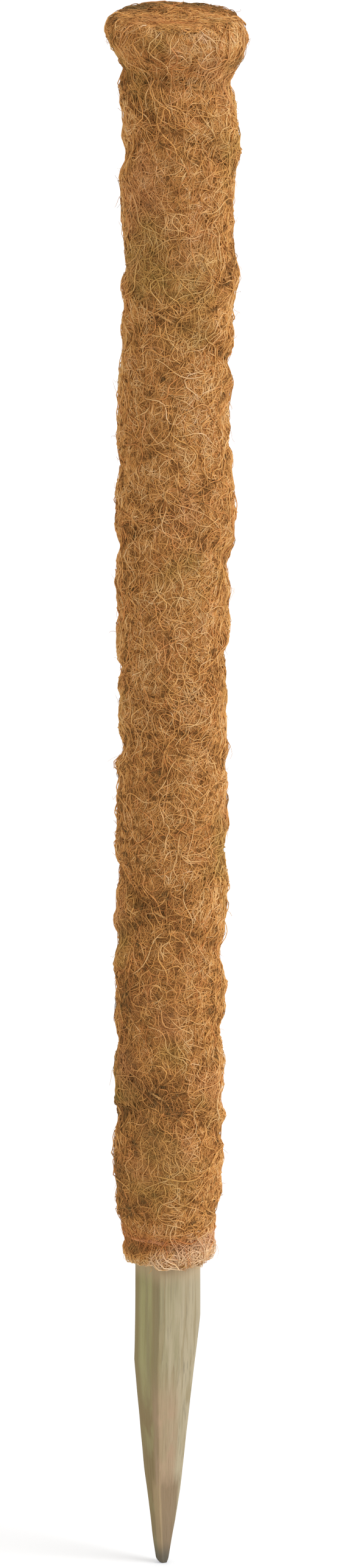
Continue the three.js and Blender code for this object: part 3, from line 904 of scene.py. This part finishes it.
class MOSSPOLE_OT_stake(bpy.types.Operator):
    """Hews the stake: the section at a height is the polygon that the strokes leave, with worn arrises"""

    bl_idname = "mosspole.stake"
    bl_label = "Stake"

    # The four long strokes, from the right front on: where each begins and its reach at the tip
    LONG = ((100 * MM, 2.2 * MM), (98 * MM, 1.9 * MM), (80 * MM, 3.4 * MM), (80 * MM, 3.6 * MM))
    # The last strokes: where each looks, in quarter turns, and its reach at the tip
    LAST = ((0, 1.1 * MM), (1, 0.8 * MM), (2, 2.25 * MM), (3, 2.6 * MM), (3.5, 2.1 * MM), (0.5, 1.0 * MM))
    SHARPNESS = 90
    COVERED_ROWS = 24
    # Waves of the fine ridges round the stake, and the depths of ridges, dips and long waves
    RIDGES = (23, 37, 58, 83)
    RIDGE, DIP, WAVE = 0.035 * MM, 0.1 * MM, 0.12 * MM

    def long_reach(self, face, height):
        """Reach of a long stroke: from the tip's to half the side, in a straight line."""
        rise, tip = self.LONG[face % 4]
        half = settings().stake.side / 2
        return tip + (half - tip) * np.clip(height / rise, 0, 1)

    def flats(self, height):
        """Direction and reach of every flat at the heights. Last strokes run clear above their start."""
        begins = settings().stake.second_hewing
        for face in range(4):
            yield face, self.long_reach(face, height)
        for quarter, tip in self.LAST:
            face, part = int(quarter), (quarter % 1) * QUARTER
            first, second = self.long_reach(face, begins), self.long_reach(face + 1, begins)
            start = first * np.cos(part) + second * np.sin(part)
            yield quarter, tip + (start - tip) * height / begins

    def radius(self, turn, height):
        """Reach of the section towards a turn: the flats' soft minimum, (sum (cos / reach)^p)^(-1/p)."""
        look = settings().stake
        half = look.side / 2
        total = 0.0
        for quarter, reach in self.flats(height):
            facing = np.cos(turn - look.turn - quarter * QUARTER)
            total = total + (np.maximum(facing, 0) * half / reach) ** self.SHARPNESS
        return half * total ** (-1 / self.SHARPNESS)

    def tool_marks(self, turn, height, radius):
        """Fine ridges along the grain, shallow adze dips on the point and long waves in the faces.

        Each is a depth times sines of the turn and the height, and all fade out where the stake is thin.
        """
        rng = np.random.default_rng(TOOL_SEED)
        ridges = 0.0
        for count_round in self.RIDGES:
            phase = rng.uniform(0, TURN)
            sway = 2 * np.sin(height / (19 * MM) + phase)
            ridges = ridges + self.RIDGE * np.sin(count_round * turn + phase + sway)
        hewn = np.clip(1 - height / (104 * MM), 0, 1)
        dips = np.sin(height / (3.1 * MM) + 3 * np.sin(2 * turn)) * np.sin(height / (7.7 * MM) + 5 * turn)
        waves = np.sin(height / (11 * MM) + 2 * turn) * np.sin(3 * turn + 1)
        fade = np.clip(radius / (6 * MM), 0, 1)
        return (ridges + self.DIP * dips * hewn + self.WAVE * waves) * fade

    def execute(self, context):
        look = settings().stake
        bare_end = HEM + 8 * MM
        bare = np.linspace(0, bare_end, look.rows)
        covered = np.linspace(bare_end, STAKE_TOP, self.COVERED_ROWS)[1:]
        height = np.concatenate([bare, covered])[:, None]
        right_arris = look.turn + QUARTER / 2
        turn = right_arris + ring_turns(look.columns)[None]
        radius = self.radius(turn, height)
        radius = radius + self.tool_marks(turn, height, radius)
        worn, worn_height = 0.38, 2.2 * MM
        blunt = 1 - worn * np.clip(1 - height / worn_height, 0, 1) ** 2
        points, groups = capped(on_pole(turn, radius * blunt, height), (0, 0, 0), (0, 0, STAKE_TOP))
        across = radius * np.cos(turn - right_arris)
        across = across / np.abs(across).max(axis=1, keepdims=True)
        values = {"across": np.append(across, [0, 0])}
        new_piece("hewn_stake", points, groups, wood_finish(), ["stake"], values)
        return {"FINISHED"}


class MOSSPOLE_OT_mat(bpy.types.Operator):
    """Felts the mat's ground: its outer face carried round the axis, closed by its seat, bore and hole"""

    bl_idname = "mosspole.mat"
    bl_label = "Coir mat"

    def execute(self, context):
        mat, stake = settings().mat, settings().stake
        face = MatFace()
        turn = ring_turns(mat.columns)[None]
        outer, _ = face.points(face.along[:, None], turn, 0.0)
        clearance, seat_drop, furthest = 0.25 * MM, 0.6 * MM, 0.95
        off_face = (turn - stake.turn + QUARTER / 2) % QUARTER - QUARTER / 2
        hole = (stake.side / 2 + clearance) / np.cos(off_face)
        under = face.UNDER
        blend = np.linspace(0, furthest, under)[:, None]
        edge = np.hypot(outer[under, :, 0], outer[under, :, 1])[None]
        outer[:under] = on_pole(turn, hole + (edge - hole) * blend, face.levels[0])
        walls = [
            (WAD_RADIUS + GAP, face.levels[-1] - seat_drop),
            (WAD_RADIUS + GAP, WAD_LOW.z - GAP),
            (WRAP_RADIUS + GAP, WAD_LOW.z - GAP),
            (WRAP_RADIUS + GAP, WRAP_LOW.z - GAP),
        ]
        inner = np.concatenate([on_pole(turn, radius, height) for radius, height in walls])
        throat = on_pole(turn, hole, WRAP_LOW.z - GAP)
        points = np.concatenate([outer, settled(inner), throat])
        rows, columns = points.shape[:2]
        flat = points.reshape(-1, 3)
        groups = outward(flat, [ring_faces(rows, columns, closed=True)])
        new_piece("coir_mat_ground", flat, groups, ground_finish(), ["coir_outer_mat"])
        return {"FINISHED"}


class Layer(NamedTuple):
    """How a layer of fibre is laid. low and high are how far its fibres lie off the mat, in mm."""

    name: str
    bands: int
    strands: int
    points: int
    thin: float
    thick: float
    stretch: float
    curl: float
    low: float
    high: float
    tone: float


class MOSSPOLE_OT_fibres(bpy.types.Operator):
    """Lays curled fibres over the mat in bands from hem to lip, and thin strays that stand off it"""

    bl_idname = "mosspole.fibres"
    bl_label = "Coir fibres"

    # Shares of the fibres that run upright, that arch off the mat and that bridge the grooves
    UPRIGHT, ARCHED, BRIDGING = 0.4, 0.2, 0.55
    # How far the ends of fibres are tucked in, on the mat and under the hem
    TUCK, SEAM_TUCK = 1.1 * MM, 0.8 * MM
    # Radii and tones of the stray hairs and the hem's seam
    HAIR_THIN, HAIR_THICK = 0.05 * MM, 0.11 * MM
    HAIR_TONE, SEAM_TONE = 0.5, 0.4

    def layers(self):
        """The lower layer, of fine fibres, and the upper one, of coarse strands."""
        fibre = settings().fibre
        fine = Layer(
            "coir_fibres", fibre.fine_bands, fibre.fine_fibres, fibre.points, fibre.thinnest, fibre.thickest,
            stretch=1.0, curl=0.85, low=-0.2, high=0.45, tone=0.46,
        )
        coarse = Layer(
            "coir_strands", fibre.coarse_bands, fibre.coarse_fibres, fibre.coarse_points, fibre.thickest,
            fibre.coarsest, stretch=1.1, curl=1.15, low=0.2, high=0.65, tone=0.64,
        )
        return fine, coarse

    def laid(self, rng, face, layer, low, high):
        """Paths on the mat's strip: along the strip and round it, ends tucked in, some bridging the grooves.

        Their middles are spread evenly: along the strip in order, and round it by the golden section.
        """
        fibre = settings().fibre
        leaning, unevenness, wave_height, waves = 0.5, 0.02, 0.2 * MM, 1.3
        strands = layer.strands
        column = (strands, 1)
        order = np.arange(strands)
        reach = rng.uniform(fibre.shortest, fibre.longest, strands) * layer.stretch
        upright = rng.random(strands) < self.UPRIGHT
        heading = np.where(upright, rng.normal(QUARTER, leaning, strands), rng.uniform(0, np.pi, strands))
        across, climb = wandering(rng, layer.points, heading, reach, layer.curl)
        start = low + (high - low) * ((order + rng.random(strands)) / strands)[:, None]
        middle = TURN * (order * GOLDEN + unevenness * rng.random(strands))[:, None]
        turn = middle + across / face.at(start)[0]
        part = np.linspace(-1, 1, layer.points)[None]
        level = rng.uniform(layer.low, layer.high, column) * MM
        arch = some(rng, self.ARCHED, 0.2, 0.9, column) * MM
        wave = wave_height * np.sin(TURN * (waves * part + rng.random(column)))
        lift = level + wave + arch * (1 - part**2) - self.TUCK * part**6
        bridge = some(rng, self.BRIDGING, 0.25, 0.95, column)
        return face.points(start + climb, turn, lift, bridge), turn, face.at(start + climb)[1]

    def strays(self, rng, face, strands):
        """Thin hairs: one end in the mat, the other standing off it in a curve."""
        fibre = settings().fibre
        rooted, highest = 0.2 * MM, 4 * MM
        reach = rng.uniform(5, 15, strands) * MM
        across, climb = wandering(rng, fibre.points, rng.uniform(0, TURN, strands), reach, 1.3)
        start = rng.uniform(0, face.along[-1], strands)[:, None]
        turn = rng.uniform(0, TURN, strands)[:, None] + across / face.at(start)[0]
        part = np.linspace(0, 1, fibre.points)[None]
        stand = rng.gamma(2.0, 0.75, (strands, 1)) * MM
        lift = rooted + np.minimum(stand, highest) * part**1.5
        return face.points(start + climb, turn, lift)

    def seam(self, rng, face, strands):
        """Short fibres under the hem, laid along the four sides of the stake, with their ends tucked up.

        A fibre keeps between the side of the stake and a circle just inside the hem's edge.
        """
        fibre, stake = settings().fibre, settings().stake
        clear, inside = stake.side / 2 + GAP, HEM_RADIUS - 1.9 * MM
        column = (strands, 1)
        reach = rng.uniform(5, 12, strands) * MM
        along, away = wandering(rng, fibre.points, rng.normal(0, 0.6, strands), reach, 1.0)
        along = along + rng.uniform(-0.35, 0.35, column) * stake.side
        room = np.sqrt(np.maximum(inside**2 - along**2, 0))
        away = clear + np.abs(away + rng.uniform(0, 4, column) * MM)
        away = np.minimum(away, np.maximum(room, clear))
        facing = stake.turn + QUARTER * (np.arange(strands) % 4)[:, None]
        x = away * np.sin(facing) + along * np.cos(facing)
        y = along * np.sin(facing) - away * np.cos(facing)
        part = np.linspace(-1, 1, fibre.points)[None]
        hang = rng.uniform(0, 0.7, column) * MM - self.SEAM_TUCK * part**6
        return np.stack([x, y, face.levels[0] - hang], -1)

    def weathering(self, turn, height):
        """What a place adds to the tone: random patches and the hem's pale cut edge, painted light at the
        right front, on the hem and on the front of the lip, and painted shade at the left, the back, the
        lower left and in the threads' grooves.

        Each edge is a bell curve of the height, times a wave or a bell curve of the turn.
        """

        def level(middle, reach):
            return bell((height - middle) / reach)

        def side(middle, reach):
            return turn_bell(turn, middle, reach)

        right, front = np.sin(turn), np.cos(turn)
        left = np.clip(-right, 0, 1)
        left_half = np.clip(0.6 - right, 0, 1.6) / 1.6
        patches = 0.14 * lumps(turn, height, PATCH_SEED)
        upper = smooth_step((height - 300 * MM) / (120 * MM))
        # painted light and shade: paler at the right front and darker further round to the right, more so
        # higher up
        right_light_and_shade = (0.08 + 0.12 * upper) * side(0.55, 0.5) - (0.05 + 0.1 * upper) * side(1.35, 0.5)
        # the hem's pale cut fibre ends, with painted light making them paler still at the right and front
        hem_edge_pale_and_lit = level(HEM + 2.7 * MM, 4.8 * MM) * (0.95 + 0.4 * right + 0.3 * front)
        # painted highlight on the hem at the right front
        hem_highlight = level(HEM + 6 * MM, 4.5 * MM) * 1.3 * side(0.65, 0.7)
        # painted highlight above the hem's tie at the front left
        hem_front_left_highlight = level(HEM_TIE + 6 * MM, 4 * MM) * 0.5 * side(-0.3, 0.5)
        # painted shade on the hem at the left
        hem_left_shade = level(HEM + 7 * MM, 4.5 * MM) * 1.3 * side(-0.9, 0.5)
        # painted light at the right front and painted shade at the left round the hem's tie
        hem_tie = level(HEM_TIE - 1 * MM, 5 * MM) * np.clip(0.2 + 1.25 * np.sin(turn + 0.25), -0.4, 0.7)
        # painted highlight on the rounded front and right of the lip
        rim = level(LIP - 2 * MM, 6 * MM) * 0.45 * (0.5 + 0.5 * np.cos(turn - 0.9)) ** 2
        # painted shade round the back of the lip
        back_rim_shade = level(LIP, 4 * MM) * 0.55 * (0.5 - 0.5 * front)
        # painted shade on the left of the flare
        flare = level(LIP - 10 * MM, 12 * MM) * 0.12 * left
        # painted shade over the lower left of the mat, fading out at the hem
        foot = 0.4 * smooth_step((HEM + 230 * MM - height) / (180 * MM)) * left_half
        foot = foot * (1 - level(HEM, 15 * MM))
        # painted shade in the threads' grooves, less at front and back
        grooves = 0.22 * drawn_in(turn, height)[0]
        paler = patches + right_light_and_shade + hem_edge_pale_and_lit + hem_tie + hem_highlight + hem_front_left_highlight + rim
        return paler - hem_left_shade - back_rim_shade - flare - foot - grooves

    def reddening(self, turn, height):
        """Red that the hem's tie leaves, fainter at the right front, and a warm front of the flare.

        Both are bell curves of the height, times a bell curve of the turn.
        """
        pale, front = turn_bell(turn, 0.8, 0.4), turn_bell(turn, -0.1, 0.6)
        hem_red = 0.6 * (1 - 0.6 * pale) * bell((height - HEM_TIE - 1 * MM) / (4 * MM))
        return hem_red + 0.2 * front * bell((height - LIP + 13 * MM) / (9 * MM))

    def band(self, name, rng, face, layer, low, high):
        """One piece of a layer, laid between two places on the mat's strip."""
        (centres, out), turn, height = self.laid(rng, face, layer, low, high)
        level = layer.tone + self.weathering(turn, height)
        strand_piece(name, rng, centres, out, layer.thin, layer.thick, level, self.reddening(turn, height))

    def execute(self, context):
        fibre = settings().fibre
        # Every strand takes this finish, by its name
        fibre_finish()
        face = MatFace()
        end = face.along[-1]
        fine, coarse = self.layers()
        rng = np.random.default_rng(LAYER_SEED)
        for layer in (fine, coarse):
            edges = np.linspace(0, end, layer.bands + 1)
            for order in range(layer.bands):
                self.band(f"{layer.name}_{order + 1}", rng, face, layer, edges[order], edges[order + 1])
        hairs = self.strays(rng, face, fibre.stray_fibres)
        strand_piece("coir_stray_hairs", rng, *hairs, self.HAIR_THIN, self.HAIR_THICK, self.HAIR_TONE)
        rng = np.random.default_rng(FLARE_SEED)
        flare = fine._replace(strands=fibre.flare_fibres)
        neck = np.interp(NECK + 3 * MM, face.levels, face.along)
        self.band("coir_flare_fibres", rng, face, flare, neck, end)
        rng = np.random.default_rng(SEAM_SEED)
        seam = self.seam(rng, face, fibre.seam_fibres)
        x, y, height = np.moveaxis(seam, -1, 0)
        level = self.SEAM_TONE + self.weathering(np.arctan2(x, -y), height)
        down = np.broadcast_to((0.0, 0.0, -1.0), seam.shape)
        strand_piece("coir_hem_seam", rng, settled(seam), down, fibre.thinnest, fibre.coarsest, level)
        return {"FINISHED"}


class MOSSPOLE_OT_crown(bpy.types.Operator):
    """Closes the top with a wad of coir: a low dome of felt under curled fibres that bend along its edge"""

    bl_idname = "mosspole.crown"
    bl_label = "Crown wad"

    COLUMNS, RINGS = 96, 26
    # Where the fibres are spread to, where they start to bend along the edge and how far they come
    SPREAD, BEND, REACH = 25 * MM, 19 * MM, 25.3 * MM
    ARCHED, TUCK, THICKEST = 0.3, 0.8 * MM, 0.29 * MM

    def dome(self, x, y):
        """Height of the crown over a place: z = lip + rise * (1 - (r / R)^2) and soft humps, R its ridge.

        From the ridge out it falls with the lip's round, drop * (1 - sqrt(1 - s^2)), s the share of the way.
        """
        mat = settings().mat
        hump = 0.6 * MM
        ridge = FLARE_RADIUS - mat.lip_draw
        far = np.hypot(x, y)
        humps = np.sin(x / (2.9 * MM) + 1) * np.sin(y / (2.3 * MM)) + np.sin((x + y) / (5.1 * MM))
        inside = np.clip(1 - (far / ridge) ** 2, 0, 1)
        fall = 1 - np.sqrt(1 - np.clip((far - ridge) / mat.lip_draw, 0, 1) ** 2)
        return LIP + mat.crown_rise * inside + hump * humps * inside**0.5 - mat.flare_drop * fall

    def ground(self):
        """The felt of the wad: its dome carried out to its edge and down to its seat."""
        felt = bpy.data.materials["coir_ground"]
        rings = np.linspace(0.02, 1, self.RINGS)[:, None] * WAD_RADIUS
        turn = ring_turns(self.COLUMNS)[None]
        top = on_pole(turn, rings, 0.0)
        top[..., 2] = self.dome(top[..., 0], top[..., 1]) - settings().mat.wad_sink
        edge = on_pole(turn, WAD_RADIUS, WAD_LOW.z)
        rows = np.concatenate([settled(top), edge])
        points, groups = capped(rows, rows[0].mean(axis=0), (0, 0, WAD_LOW.z))
        new_piece("crown_wad_ground", points, groups, felt, ["crown_wad"])

    def held(self, x, y):
        """The places, held inside the crown's edge.

        A distance r past the bend b becomes b + (R - b) * (1 - exp(-(r - b) / (R - b))), R the reach.
        """
        far = np.hypot(x, y)
        room = self.REACH - self.BEND
        past = np.maximum(far - self.BEND, 0) / room
        share = np.where(past > 0, self.BEND + room * (1 - np.exp(-past)), far) / np.maximum(far, TINY)
        return x * share, y * share

    def shade(self, x, y):
        """Tone and added warmth: painted light at the right, the front and the middle, painted shade at the
        back and the left back, and painted shade with a red tint in the crease behind the front of the lip.
        """
        # painted shade with a red tint in the crease in front of the crown's middle
        red_shaded_crease = spot(x, y, *CROWN_SHADED_CREASE)
        front = np.clip(-y / FLARE_RADIUS, 0, 1)
        # painted shade towards the back of the crown
        rear_shade = smooth_step((np.hypot(x, y) - 9 * MM) / (10 * MM)) * smooth_step((y + 2 * MM) / (13 * MM))
        # painted light: paler to the right and the front, with a painted highlight in the middle
        paler = 0.32 + x / (140 * MM) + 0.12 * front + 0.2 * spot(x, y, *CROWN_MIDDLE_HIGHLIGHT)
        # painted shade at the left back of the crown
        return paler - 0.7 * rear_shade - 0.6 * red_shaded_crease - 0.2 * spot(x, y, *CROWN_LEFT_BACK_SHADE), 0.06 + 0.75 * red_shaded_crease

    def fibres(self):
        """Fibres over the whole crown, spread by the golden section, with their ends tucked in."""
        fibre = settings().fibre
        strands = fibre.crown_fibres
        column = (strands, 1)
        rng = np.random.default_rng(CROWN_SEED)
        order = np.arange(strands)
        reach = rng.uniform(8, 22, strands) * MM
        x, y = wandering(rng, fibre.points, rng.uniform(0, TURN, strands), reach, 1.1)
        turn = TURN * (order * GOLDEN)[:, None]
        radius = self.SPREAD * np.sqrt((order + rng.random(strands)) / strands)[:, None]
        x, y = self.held(x + radius * np.sin(turn), y - radius * np.cos(turn))
        part = np.linspace(-1, 1, fibre.points)[None]
        arch = some(rng, self.ARCHED, 0.2, 1.1, column) * MM
        lift = rng.uniform(-0.4, 0.5, column) * MM + arch * (1 - part**2) - self.TUCK * part**6
        centres = settled(np.stack([x, y, self.dome(x, y) + lift], -1))
        up = np.broadcast_to((0.0, 0.0, 1.0), centres.shape)
        strand_piece("crown_fibres", rng, centres, up, fibre.thinnest, self.THICKEST, *self.shade(x, y))

    def execute(self, context):
        self.ground()
        self.fibres()
        return {"FINISHED"}


class MOSSPOLE_OT_binding(bpy.types.Operator):
    """Winds the two threads and the two ties, each a pair of plies twisted about its path"""

    bl_idname = "mosspole.binding"
    bl_label = "Binding"

    PLY_SIDES = 6
    # How steeply one thread rises to cross the other
    STEEPNESS = 22

    def twisted(self, name, path, material, node):
        """Two round plies that turn about a path once a ply pitch, half a turn apart."""
        binding = settings().binding
        along = np.gradient(path, axis=0)
        steps = np.linalg.norm(along, axis=1)
        along = unit(along)
        out = path * (1, 1, 0)
        out = unit(out - along * np.einsum("ij,ij->i", out, along)[:, None])
        side = np.cross(along, out)
        twist = TURN * np.cumsum(steps) / binding.ply_pitch
        corner = ring_turns(self.PLY_SIDES)[None, :, None]
        section = np.cos(corner) * out[:, None] + np.sin(corner) * side[:, None]
        points, groups = [], []
        for ply in range(2):
            phase = (twist + ply * np.pi)[:, None]
            centre = path + binding.ply_radius * (np.cos(phase) * out + np.sin(phase) * side)
            tube, faces = capped(centre[:, None] + binding.ply_radius * section, centre[0], centre[-1])
            points.append(tube)
            groups += [ply * len(tube) + group for group in faces]
        new_piece(name, np.concatenate(points), groups, material, [node])

    def thread_path(self, hand):
        """The thread in its groove, lifted over the other where they cross if it is the left-handed one."""
        binding = settings().binding
        rows = int((THREAD_HIGH.z - THREAD_LOW.z) / binding.pitch * binding.steps)
        height = np.linspace(THREAD_HIGH.z, THREAD_LOW.z, rows)
        turn = thread_turn(height, hand)
        radius = side_radius(height) + settings().mat.cover - binding.sink + swells(turn, height)
        if hand < 0:
            crossing = np.cos((wound_length(height) - binding.crossing_drop) * TURN / binding.pitch) ** 2
            hop = np.maximum(0, 1 - (1 - crossing) * self.STEEPNESS)
            radius = radius + 4 * binding.ply_radius * hop
        return settled(on_pole(turn, radius, height))

    def tie_path(self, low, high, radius, sink):
        """A short even helix between two heights."""
        binding = settings().binding
        part = np.linspace(0, 1, binding.tie_turns * binding.steps)
        turn = binding.crossing_turn + TURN * binding.tie_turns * part
        edge = 2 * binding.ply_radius
        height = low + edge + (high - low - 2 * edge) * part
        return settled(on_pole(turn, radius - edge - sink, height))

    def execute(self, context):
        binding = settings().binding
        brown = thread_finish("brown_thread", binding.brown)
        red = thread_finish("red_thread", binding.red)
        self.twisted("thread_right_hand", self.thread_path(1), brown, "binding_thread_right_hand")
        self.twisted("thread_left_hand", self.thread_path(-1), brown, "binding_thread_left_hand")
        neck = self.tie_path(NECK_LOW.z, NECK_HIGH.z, NECK_RADIUS, binding.neck_sink)
        hem = self.tie_path(HEM_TIE, HEM_TIE_HIGH.z, HEM_RADIUS, binding.hem_sink)
        self.twisted("tie_at_neck", neck, brown, "neck_tie")
        self.twisted("tie_at_hem", hem, red, "hem_tie")
        return {"FINISHED"}


class MOSSPOLE_OT_hidden(bpy.types.Operator):
    """Finishes what the coir hides: the first layer of coir and the wire staples"""

    bl_idname = "mosspole.hidden"
    bl_label = "Hidden pieces"

    def execute(self, context):
        wire, felt = wire_finish(), bpy.data.materials["coir_ground"]
        for name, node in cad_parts.items():
            if name.startswith("staple") or name == "coir_inner_wrap":
                node.data.materials.clear()
                node.data.materials.append(wire if name.startswith("staple") else felt)
        return {"FINISHED"}


class MOSSPOLE_OT_stage(bpy.types.Operator):
    """Sets the pale floor, the soft light and the camera"""

    bl_idname = "mosspole.stage"
    bl_label = "Stage"

    def floor(self):
        """A square of floor at the height of the stake's tip."""
        half = 6.0
        corners = [(-half, -half, 0), (half, -half, 0), (half, half, 0), (-half, half, 0)]
        mesh = bpy.data.meshes.new("floor")
        mesh.from_pydata(corners, [], [(0, 1, 2, 3)])
        mesh.materials.append(floor_finish())
        floor = linked("floor", mesh)

    def light(self):
        """A wide sun from the right front, and an even sky that is white where it is seen."""
        stage = settings().stage
        lamp = bpy.data.lights.new("key", "SUN")
        lamp.energy = stage.key_strength
        lamp.angle = stage.key_spread
        lamp.color = stage.key
        key = linked("key", lamp)
        key.rotation_euler = Euler((QUARTER - stage.key_rise, 0, stage.key_turn))
        world = bpy.data.worlds.new("studio")
        finish = Finish(world)
        sky = finish.background(stage.sky, stage.sky_strength)
        white = finish.background((1, 1, 1), 1.0)
        shader = finish.node("ShaderNodeMixShader", None, {0: finish.shown(), 1: sky, 2: white})
        finish.node("ShaderNodeOutputWorld", None, {0: shader.outputs[0]})
        bpy.context.scene.world = world

    def camera(self):
        """A camera in front of the pole, looking down on it and a little rolled."""
        stage = settings().stage
        lens = bpy.data.cameras.new("camera")
        camera = linked("camera", lens)
        bpy.context.scene.camera = camera
        lens.lens = lens.sensor_width * stage.distance * stage.scale / FRAME_HEIGHT
        aim = Vector((stage.aim_right, 0, stage.aim_height))
        back = Vector((0, -np.cos(stage.elevation), np.sin(stage.elevation)))
        camera.location = aim + back * stage.distance
        turned = (-back).to_track_quat("-Z", "Y") @ Euler((0, 0, stage.roll)).to_quaternion()
        camera.rotation_euler = turned.to_euler()

    def execute(self, context):
        self.floor()
        self.light()
        self.camera()
        context.scene.view_settings.view_transform = "Standard"
        return {"FINISHED"}


OPERATORS = (
    MOSSPOLE_OT_stage,
    MOSSPOLE_OT_stake,
    MOSSPOLE_OT_mat,
    MOSSPOLE_OT_fibres,
    MOSSPOLE_OT_crown,
    MOSSPOLE_OT_binding,
    MOSSPOLE_OT_hidden,
)


class MOSSPOLE_PT_panel(bpy.types.Panel):
    """Lists the steps that make the pole"""

    bl_idname = "MOSSPOLE_PT_panel"
    bl_label = "Moss pole"
    bl_space_type = "VIEW_3D"
    bl_region_type = "UI"
    bl_category = "Moss pole"

    def draw(self, context):
        for operator in OPERATORS:
            self.layout.operator(operator.bl_idname)


CLASSES = (
    MatSettings,
    FibreSettings,
    BindingSettings,
    StakeSettings,
    StageSettings,
    MossPoleSettings,
    *OPERATORS,
    MOSSPOLE_PT_panel,
)


def register():
    for each in CLASSES:
        bpy.utils.register_class(each)
    bpy.types.Scene.moss_pole = PointerProperty(type=MossPoleSettings)


def unregister():
    del bpy.types.Scene.moss_pole
    for each in reversed(CLASSES):
        bpy.utils.unregister_class(each)


def main():
    register()
    bpy.ops.mosspole.stage()
    bpy.ops.mosspole.stake()
    bpy.ops.mosspole.mat()
    bpy.ops.mosspole.fibres()
    bpy.ops.mosspole.crown()
    bpy.ops.mosspole.binding()
    bpy.ops.mosspole.hidden()


if __name__ == "__main__":
    main()
